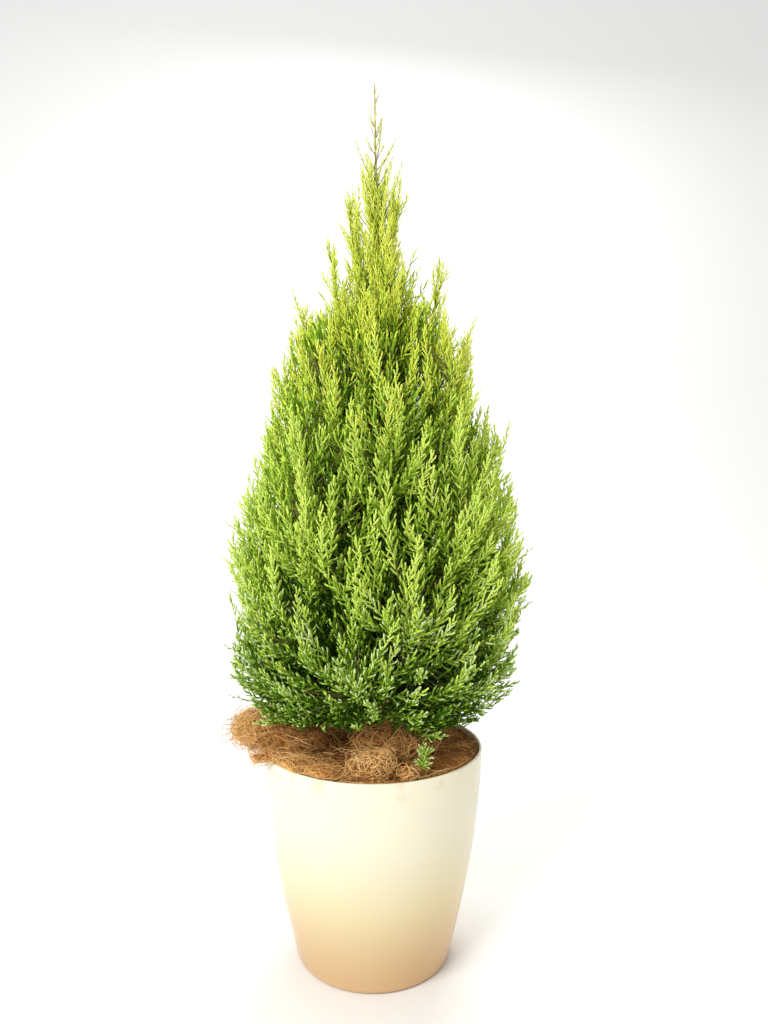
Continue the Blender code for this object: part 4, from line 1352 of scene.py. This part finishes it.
trunk_bm = bmesh.new()
trunk_stations = []
for i in range(TRUNK_RINGS + 1):
    height = blend(TRUNK_FOOT, TRUNK_TOP, (i / TRUNK_RINGS) ** 1.3)
    trunk_stations.append((trunk_centre(height), UP, trunk_radius(height)))
trunk_rings = extrude_limb(trunk_bm, trunk_stations, TRUNK_SIDES)
for ring in trunk_rings:
    for vert in ring:
        centre = trunk_centre(vert.co.z)
        flare = FLARE * math.exp(-(vert.co.z - TRUNK_FOOT) / FLARE_FALL)
        away = vert.co - centre
        lobe = 1.0 + FLARE_LOBE_DEPTH * math.cos(FLARE_LOBES * math.atan2(away.y, away.x))
        vert.co += away.normalized() * (flare * lobe)
bmesh.ops.recalc_face_normals(trunk_bm, faces=trunk_bm.faces)
roughen(trunk_bm, BARK_RELIEF)

bough_bm = bmesh.new()
for plume in plumes:
    limb_radius = blend(BOUGH_RADIUS, BOUGH_TIP_RADIUS, 1.0 - plume.slimness)
    limb_stations = []
    for i in range(BOUGH_RINGS + 1):
        share = i / BOUGH_RINGS * BOUGH_REACH
        collar = 1.0 + (BOUGH_COLLAR - 1.0) * math.exp(-share * plume.length / COLLAR_FALL)
        radius = blend(limb_radius, BOUGH_END_RADIUS, (share / BOUGH_REACH) ** 0.7) * collar
        limb_stations.append((plume.point(share), plume.direction(share), radius))
    extrude_limb(bough_bm, limb_stations, BOUGH_SIDES)
bmesh.ops.recalc_face_normals(bough_bm, faces=bough_bm.faces)
roughen(bough_bm, 0.3 * BARK_RELIEF)
print("bark points:", len(trunk_bm.verts), len(bough_bm.verts))

# %% Bark finish: dry, fibrous young bark, matt, redder where a strip has just come off
# Its strips stand upright, 3.5 mm apart.
young_bark = grained("young_bark", 0.88, "ShaderNodeTexNoise",
                     {"Scale": 290.0, "Detail": 5.0, "Roughness": 0.6},
                     ((0.30, "3E2A1D"), (0.48, "6B4A33"), (0.62, "8A6A4E"), (0.78, "A58A6C")),
                     {"Strength": 0.5, "Distance": 0.0008}, stretch=(1.0, 1.0, 0.16))
piece("trunk_bark", trunk_bm, young_bark, ["trunk"])
piece("boughs_bark", bough_bm, young_bark, [plume.bough for plume in plumes if plume.has_bough])

# %% [markdown]
# ## Twigs
# Between bough and twiglet run the branchlets' own twigs, thinner than a match and reddish brown to
# olive. There are several thousand, so they are tubes from arrays, all in one piece. The leader's stem
# is one more such tube, in a lighter tan that is painted light.

# %% Build the twigs and the leader's stem
def twig_material(name, dark, light):
    """Smooth green-brown twig skin with small lighter patches, 4 mm across."""
    patches = {"Scale": 250.0, "Detail": 2.0}
    return grained(name, 0.65, "ShaderNodeTexNoise", patches, ((0.35, dark), (0.65, light)))


twig_skin = twig_material("olive_twig", "5A4A26", "7E7A34")
piece("twigs", tubes(twig_paths, twig_radii, 3), twig_skin)
leader_heights = np.linspace(TRUNK_TOP - 0.002, LEADER_TIP - 0.004, 24)
leader_path = [trunk_centre(height)[:] for height in leader_heights]
leader_radii = [trunk_radius(height) for height in leader_heights]
# Painted light: the leader's stem gets a lighter, tan copy of the twigs' skin.
leader_skin_painted_light = twig_material("tan_shoot_painted_light", "8C7A3E", "C4B062")
piece("leader_stem", tubes([leader_path], [leader_radii], 8), leader_skin_painted_light, ["leader_shoot"])

# %% [markdown]
# ## Coir mulch
# The planter is topped with loose coconut fibre: thin, stiff, curly strands matted into clumps, some of
# which spill over the rim at the left. Underneath lies a lumpy mat that gives the fibres a body. Each
# clump is a rough ball of the same mat, wrapped in strands that curl about near its skin. Strands come
# in three browns, and the bright nests in front are mostly straw-coloured.

# %% The mulch's surface
RIM_RADIUS = 0.1492
RIM_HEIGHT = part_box("pot")[1].z
FOOT_RADIUS = 0.1045
FOOT_ROUND = 0.008
BELLY_POWER = 1.72
WALL = 0.0038
FLOOR = 0.006
SOIL_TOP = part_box("potting_soil")[1].z
COIR_BASE = 0.280
MAT_HOLE = 0.0198
MAT_SINK = 0.0015
MAT_LUMPS = ((0.0022, 0.009), (0.0012, 0.0035))
COIR_HEAPS = (
    (0.020, -0.048, 0.036, 0.032),
    (-0.010, -0.116, 0.010, 0.018),
    (-0.065, 0.005, 0.012, 0.035),
    (0.020, 0.070, 0.014, 0.045),
    (0.105, -0.005, 0.006, 0.025),
)
COIR_ROUGHNESS = 0.003
MAT_RINGS = 34
MAT_SIDES = 150


def pot_outer(height):
    """Outer radius of the planter at a height."""
    return blend(FOOT_RADIUS, RIM_RADIUS, 1.0 - (1.0 - height / RIM_HEIGHT) ** BELLY_POWER)


def coir_height(x, y):
    """Height of the mulch's top: its general level, its heaps and a fine unevenness."""
    top = COIR_BASE
    for heap_x, heap_y, height, spread in COIR_HEAPS:
        top += height * math.exp(-((x - heap_x) ** 2 + (y - heap_y) ** 2) / (2.0 * spread ** 2))
    return top + COIR_ROUGHNESS * math.sin(97.0 * x + 1.3) * math.cos(83.0 * y - 0.7)


COIR_OUTER = pot_outer(COIR_BASE) - WALL - 2.0 * GAP
mat_radii = [blend(MAT_HOLE, COIR_OUTER, i / MAT_RINGS) for i in range(MAT_RINGS + 1)]
mat_profile = [(MAT_HOLE, SOIL_TOP + GAP)] + [(radius, COIR_BASE) for radius in mat_radii]
mat_profile.append((COIR_OUTER - 0.002, SOIL_TOP + GAP))
mat_bm = spun(mat_profile, MAT_SIDES, closed=True)
for vert in mat_bm.verts:
    if vert.co.z > COIR_BASE - 0.001:
        lump = sum(height * noise.noise(vert.co / size) for height, size in MAT_LUMPS)
        vert.co.z = coir_height(vert.co.x, vert.co.y) - MAT_SINK + lump
cleaned(mat_bm)
print("mat points:", len(mat_bm.verts))

# %% The clumps' bodies
RIM_ROOM = 0.003
RIM_LIFT = 0.0012
# Each clump is its middle, its half sizes, how far out it may reach, its body's share of its size, its
# count of strands, their share of straw, their curl and how thick they are, in tenths of a millimetre.
COIR_CLUMPS = (
    # Partly painted light: the left clump's large share of straw lightens it as if well lit.
    ((-0.156, -0.004, 0.3135), (0.032, 0.038, 0.0205), 0.206, 0.78, 900, 0.70, 4.0, 3.2),
    ((-0.108, -0.020, 0.3060), (0.046, 0.045, 0.0170), 0.175, 0.80, 560, 0.16, 3.0, 3.2),
    ((-0.122, -0.062, 0.2955), (0.020, 0.024, 0.0085), 0.151, 0.80, 260, 0.46, 2.0, 3.2),
    ((-0.098, -0.092, 0.2945), (0.024, 0.020, 0.0085), 0.150, 0.80, 280, 0.46, 2.0, 3.2),
    ((-0.066, -0.116, 0.2925), (0.024, 0.015, 0.0080), 0.146, 0.80, 240, 0.40, 2.0, 3.2),
    ((-0.140, -0.066, 0.2945), (0.020, 0.011, 0.0045), 0.172, 0.80, 140, 0.50, 1.4, 3.2),
    ((-0.008, -0.116, 0.3010), (0.021, 0.017, 0.0150), 0.143, 0.40, 170, 0.80, 4.6, 4.8),
    ((0.009, -0.118, 0.3060), (0.020, 0.017, 0.0165), 0.143, 0.36, 190, 0.80, 5.0, 4.8),
    ((0.044, -0.124, 0.2950), (0.013, 0.011, 0.0090), 0.143, 0.55, 90, 0.60, 4.4, 4.6),
    ((0.026, -0.062, 0.3180), (0.044, 0.032, 0.0220), 0.143, 0.80, 420, 0.44, 3.6, 4.0),
    ((0.100, -0.050, 0.2850), (0.034, 0.050, 0.0090), 0.143, 0.80, 260, 0.08, 2.6, 3.4),
)


def settle(point, limit):
    """Keeps a point within its clump's limit, and above the planter's wall and the mulch."""
    reach = math.hypot(point.x, point.y)
    if reach > limit:
        point.x *= limit / reach
        point.y *= limit / reach
        reach = limit
    if reach < RIM_RADIUS + RIM_ROOM:
        over_wall = reach > RIM_RADIUS - WALL - RIM_ROOM
        lowest = RIM_HEIGHT + RIM_LIFT if over_wall else coir_height(point.x, point.y)
        point.z = max(point.z, lowest)
    return point


clump_bm = bmesh.new()
for middle, halves, limit, body, _, _, _, _ in COIR_CLUMPS:
    ball = bmesh.ops.create_icosphere(clump_bm, subdivisions=4, radius=1.0)["verts"]
    for vert in ball:
        spot = vert.co * 1.6 + Vector(middle) * 40.0
        lump = body + 0.14 * noise.noise(spot) + 0.06 * noise.noise(spot * 4.0)
        own = Vector(halves) * lump
        own = Vector((vert.co.x * own.x, vert.co.y * own.y, vert.co.z * own.z))
        vert.co = settle(Vector(middle) + own, limit)
bmesh.ops.recalc_face_normals(clump_bm, faces=clump_bm.faces)
print("clumps:", len(COIR_CLUMPS))


# %% Coir finish: dull, dusty vegetable fibre
def coir_material(name, dark, light, grain):
    """Coconut fibre: matt, with thin strands of lighter and darker brown in it."""
    fibres = {"Scale": grain, "Detail": 6.0, "Roughness": 0.7, "Distortion": 1.6}
    return grained(name, 0.85, "ShaderNodeTexNoise", fibres, ((0.36, dark), (0.64, light)),
                   {"Strength": 0.6, "Distance": 0.0015})


mat_coir = coir_material("matted_coir", "5A3416", "B87838", 420.0)
piece("coir_mat", mat_bm, mat_coir, ["coir_mulch"])
clump_coir = coir_material("clump_coir", "8A5426", "D8964E", 420.0)
piece("coir_clumps", clump_bm, clump_coir, ["coir_hank_left", "coir_hank_front"])

# %% [markdown]
# ## Coir strands
# Thousands of single fibres lie on the mat and the clumps. Most wander over the mulch, a few stand up in
# loose loops in front, a belt of stiffer ones follows the rim, and some stray ends hang out at the left.
# The rest curl about near the clumps' skins. Each is a short path with a radius at every station, and
# all the paths of one brown become one piece of tubes.

# %% Write down strands
STRAND_SHARES = [i / 6.0 for i in range(7)]
STRAND_TAPER = [0.6 + 0.4 * math.sin(math.pi * share) for share in STRAND_SHARES]
STRAND_STEPS = len(STRAND_SHARES) - 1.0
STRAND_THICKNESS = 3.2
BROWN_SHARE = 0.52
STRAND_TONES = (
    ("umber", "8C5A2C", "BC8046"),
    ("brown", "D8944A", "ECB264"),
    ("straw", "F6BE6E", "FFDA98"),
)
STRAY_COUNT = 16
strand_paths = {name: [] for name, _, _ in STRAND_TONES}
strand_radii = {name: [] for name, _, _ in STRAND_TONES}


def add_strand(draw, points, straw_share, thickness=STRAND_THICKNESS):
    """Writes down one strand, a little thinner at its ends, in a tone drawn by its share of straw."""
    drawn = draw.random()
    tone = "straw" if drawn < straw_share else "brown" if drawn < straw_share + BROWN_SHARE else "umber"
    radius = 0.0001 * thickness * draw.uniform(0.6, 1.3)
    strand_paths[tone].append([point[:] for point in points])
    strand_radii[tone].append([radius * taper for taper in STRAND_TAPER])


def lying_strand(draw, x, y, length, curl, lift):
    """A strand that wanders over the mulch and may stand up in a loop."""
    heading = draw.uniform(0.0, 2.0 * math.pi)
    step = length / STRAND_STEPS
    limit = COIR_OUTER - 0.0008
    points = []
    for share in STRAND_SHARES:
        reach = math.hypot(x, y)
        if reach > limit:
            x, y = x * limit / reach, y * limit / reach
        height = coir_height(x, y) + 0.0004 + lift * math.sin(math.pi * share) ** 0.8
        points.append(Vector((x, y, height + draw.uniform(0.0, 0.0012))))
        x += step * math.cos(heading)
        y += step * math.sin(heading)
        heading += curl / len(STRAND_SHARES) + draw.uniform(-0.35, 0.35)
    return points


def any_direction(draw):
    """A unit vector in any direction."""
    return Vector([draw.gauss(0.0, 1.0) for _ in range(3)]).normalized()


def stray_strand(draw):
    """A bowed end that hangs out of the left clump."""
    start = Vector((-0.165, draw.uniform(-0.045, 0.020), draw.uniform(0.298, 0.325)))
    heading = Vector((-1.0, draw.uniform(-0.6, 0.3), draw.uniform(-0.5, 0.35))).normalized()
    bow = any_direction(draw) * 0.006
    length = draw.uniform(0.032, 0.050)
    return [start + heading * (length * share) + bow * math.sin(math.pi * share)
            for share in STRAND_SHARES]


def tangled_strand(draw, middle, halves, limit, length, curl):
    """A strand that curls about near a clump's skin, and is turned back where it strays too far."""
    offset = any_direction(draw) * draw.uniform(0.80, 1.02)
    offset = Vector([offset[axis] * halves[axis] for axis in range(3)])
    heading = any_direction(draw)
    turn = Matrix.Rotation(draw.choice((-1.0, 1.0)) * curl / STRAND_STEPS, 3, any_direction(draw))
    points = []
    for _ in STRAND_SHARES:
        points.append(settle(Vector(middle) + offset, limit))
        scaled = Vector([offset[axis] / halves[axis] for axis in range(3)])
        away = Vector([scaled[axis] / halves[axis] for axis in range(3)]).normalized()
        heading = turn @ heading + any_direction(draw) * 0.16
        if scaled.length > 0.95:
            heading -= away * max(heading.dot(away), 0.0) * draw.uniform(0.75, 1.15)
        elif scaled.length < 0.75:
            heading += away * 0.5
        heading.normalize()
        offset = offset + heading * (length / STRAND_STEPS)
    return points


# %% Draw the strands
def round_spot(share, azimuth):
    """A place on the mulch, at a share of its radius."""
    reach = COIR_OUTER * share
    return reach * math.cos(azimuth), reach * math.sin(azimuth)


def anywhere(draw):
    """A place anywhere on the mulch."""
    return round_spot(math.sqrt(draw.uniform(0.03, 1.0)), draw.uniform(0.0, 2.0 * math.pi))


def in_front(draw):
    """A place among the front clumps."""
    return draw.uniform(-0.05, 0.07), draw.uniform(-0.13, -0.07)


def by_rim(draw):
    """A place along the front of the rim."""
    return round_spot(draw.uniform(0.88, 1.0), math.radians(draw.uniform(-165.0, -25.0)))


# Each kind is its count, its places, its lengths, its curl, its lift, its share of straw, its thickness.
LYING_KINDS = (
    (1300, anywhere, (0.02, 0.075), 2.6, (0.0, 0.005), 0.10, STRAND_THICKNESS),
    (24, in_front, (0.05, 0.10), 2.4, (0.010, 0.030), 0.45, STRAND_THICKNESS),
    (300, by_rim, (0.02, 0.05), 3.0, (0.001, 0.008), 0.35, 4.0),
)
strand_draw = random.Random(SEED + 4)
for count, spot_of, lengths, curl, lifts, straw_share, thickness in LYING_KINDS:
    for _ in range(count):
        x, y = spot_of(strand_draw)
        strand = lying_strand(strand_draw, x, y, strand_draw.uniform(*lengths),
                              strand_draw.uniform(-curl, curl), strand_draw.uniform(*lifts))
        add_strand(strand_draw, strand, straw_share, thickness)
for _ in range(STRAY_COUNT):
    add_strand(strand_draw, stray_strand(strand_draw), 0.0, 4.2)
for middle, halves, limit, _, count, straw_share, curl, thickness in COIR_CLUMPS:
    for _ in range(count):
        length = strand_draw.uniform(0.8, 2.2) * max(halves)
        own_curl = curl * strand_draw.uniform(0.4, 1.2)
        strand = tangled_strand(strand_draw, middle, halves, limit, length, own_curl)
        add_strand(strand_draw, strand, straw_share, thickness)
for tone_name, dark, light in STRAND_TONES:
    tone_coir = coir_material("coir_" + tone_name, dark, light, 160.0)
    strand_tubes = tubes(strand_paths[tone_name], strand_radii[tone_name], 3)
    piece("coir_strands_" + tone_name, strand_tubes, tone_coir)

# %% [markdown]
# ## The planter
# The planter is injection-moulded white plastic with a gloss skin: a round foot, a wall that bellies
# out to nearly upright at the rim, and a thin rounded lip. Its outline is drawn once, from arcs and one
# power curve, and spun about the axis. Fine steps keep the gloss free of facets.

# %% Turn the planter
POT_STEPS = 160
WALL_STEPS = 36
ARC_STEPS = 6


def pot_profile():
    """(radius, height) points of the wall's section, from the underside's middle round to the floor."""
    edge = pot_outer(FOOT_ROUND) - FOOT_ROUND
    points = [(0.0, 0.0012), (0.62 * edge, 0.0012), (0.66 * edge, 0.0), (edge - 0.004, 0.0)]
    for i in range(ARC_STEPS):
        angle = 0.5 * math.pi * i / ARC_STEPS
        points.append((edge + FOOT_ROUND * math.sin(angle), FOOT_ROUND * (1.0 - math.cos(angle))))
    top = RIM_HEIGHT - WALL / 2.0
    for i in range(WALL_STEPS + 1):
        height = blend(FOOT_ROUND, top, i / WALL_STEPS)
        points.append((pot_outer(height), height))
    for i in range(1, ARC_STEPS * 2):
        angle = math.pi * i / (ARC_STEPS * 2)
        lip = 0.5 * WALL * math.cos(angle)
        points.append((RIM_RADIUS - WALL / 2.0 + lip, top + 0.5 * WALL * math.sin(angle)))
    for i in range(WALL_STEPS + 1):
        height = blend(top, FLOOR, i / WALL_STEPS)
        points.append((pot_outer(height) - WALL, height))
    points.append((0.0, FLOOR))
    return points


pot_bm = cleaned(spun(pot_profile(), POT_STEPS))
print("planter points:", len(pot_bm.verts))


# %% Planter finish: glossy moulded polypropylene, tan low down from painted reflection and shade
def pot_material():
    """Gloss white plastic with painted warm reflection and shade low down, and faint stains below the
    rim.
    """
    made, tree, shader = principled("white_plastic_painted_reflection", IOR=1.49, Specular_IOR_Level=0.22)
    space = add(tree, "ShaderNodeTexCoord").outputs["Object"]
    height = add(tree, "ShaderNodeSeparateXYZ", {"Vector": space}).outputs["Z"]
    # Painted reflection and shade: the body turns from cream to tan towards the foot.
    low = mapped(tree, height, 0.0, 0.24, 1.0, 0.0, interpolation_type="SMOOTHSTEP")
    body = ramp(tree, low, ((0.0, "EAE6CE"), (0.5, "E3D4AA"), (1.0, "D3AF82")))
    blots = add(tree, "ShaderNodeTexNoise", {"Vector": space, "Scale": 42.0, "Detail": 4.0}).outputs[0]
    near_rim = mapped(tree, height, 0.262, 0.288, 0.0, 1.0)
    blot_share = mapped(tree, blots, 0.56, 0.74, 0.0, 0.5)
    stain = add(tree, "ShaderNodeMath", {0: blot_share, 1: near_rim}, operation="MULTIPLY").outputs[0]
    stained = add(tree, "ShaderNodeMix", {0: stain, 6: body, 7: linear("D9BE86")}, data_type="RGBA")
    tall = add(tree, "ShaderNodeMapping", {"Vector": space, "Scale": (1.0, 1.0, 0.05)}).outputs[0]
    streaks = add(tree, "ShaderNodeTexNoise", {"Vector": tall, "Scale": 90.0, "Detail": 2.0}).outputs[0]
    rub = mapped(tree, streaks, 0.35, 0.7, 0.16, 0.27)
    tree.links.new(stained.outputs[2], shader.inputs["Base Color"])
    tree.links.new(rub, shader.inputs["Roughness"])
    return made


piece("pot_shell", pot_bm, pot_material(), ["pot"])

# %% Soil finish: damp peat, nearly black, matt and crumbly, with lighter crumbs 3 mm across
damp_peat = grained("damp_peat", 0.95, "ShaderNodeTexVoronoi", {"Scale": 330.0},
                    ((0.0, "54402E"), (0.6, "241912")),
                    {"Strength": 0.7, "Distance": 0.002}, sunken=True)
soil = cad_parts["potting_soil"]
if soil.material_slots:
    soil.material_slots[0].material = damp_peat
else:
    soil.data.materials.append(damp_peat)
print("soil material:", damp_peat.name)

# %% [markdown]
# ## The studio
# The floor is a plain pale sweep that curves up behind the plant, so no edge shows. A large soft light
# stands in front at the upper left, a second fills from the right, and the pale surroundings light the
# rest. None of it belongs to the object.

# %% Build the floor and the lights
SWEEP_HALF_WIDTH = 6.0
SWEEP_FRONT = -5.0
SWEEP_BACK = 2.6
SWEEP_ROUND = 1.2
SWEEP_TOP = 5.0

sweep_bm = bmesh.new()
line = [(SWEEP_FRONT, 0.0), (SWEEP_BACK - SWEEP_ROUND, 0.0)]
for i in range(1, 17):
    angle = 0.5 * math.pi * i / 16.0
    back = SWEEP_BACK - SWEEP_ROUND + SWEEP_ROUND * math.sin(angle)
    line.append((back, SWEEP_ROUND * (1.0 - math.cos(angle))))
line.append((SWEEP_BACK, SWEEP_TOP))
sweep_verts = [sweep_bm.verts.new((-SWEEP_HALF_WIDTH, y, z)) for y, z in line]
sweep_edges = [sweep_bm.edges.new(pair) for pair in zip(sweep_verts, sweep_verts[1:])]
made = bmesh.ops.extrude_edge_only(sweep_bm, edges=sweep_edges)["geom"]
far_verts = [item for item in made if isinstance(item, bmesh.types.BMVert)]
bmesh.ops.translate(sweep_bm, verts=far_verts, vec=(2.0 * SWEEP_HALF_WIDTH, 0.0, 0.0))
sweep_mesh = mesh_of("floor", sweep_bm)
sweep_mesh.shade_smooth()
sweep_mesh.materials.append(principled("pale_floor", Roughness=0.6, Base_Color=linear("F3F3F1"))[0])
floor = bpy.data.objects.new("floor", sweep_mesh)
scene.collection.objects.link(floor)


def soft_light(name, place_at, aim, size, power, colour="FFFFFF"):
    """A square soft light at a place, aimed at a point."""
    data = bpy.data.lights.new(name, "AREA")
    data.size = size
    data.energy = power
    data.color = linear(colour)[:3]
    made = bpy.data.objects.new(name, data)
    made.location = place_at
    made.rotation_euler = (Vector(aim) - Vector(place_at)).to_track_quat("-Z", "Y").to_euler()
    scene.collection.objects.link(made)


soft_light("key", (-1.7, -2.2, 2.5), (0.0, 0.0, 0.6), 1.6, 98.0)
soft_light("fill", (2.0, -1.0, 0.7), (0.0, 0.0, 0.4), 1.4, 4.0, "FFC890")
soft_light("top", (0.2, 1.0, 3.1), (0.0, 0.3, 0.8), 1.6, 52.0)
world = bpy.data.worlds.new("pale_room")
scene.world = world
world.use_nodes = True
room = world.node_tree.nodes["Background"]
room.inputs["Color"].default_value = linear("F4F6F8")
room.inputs["Strength"].default_value = 0.60
scene.view_settings.view_transform = "Standard"
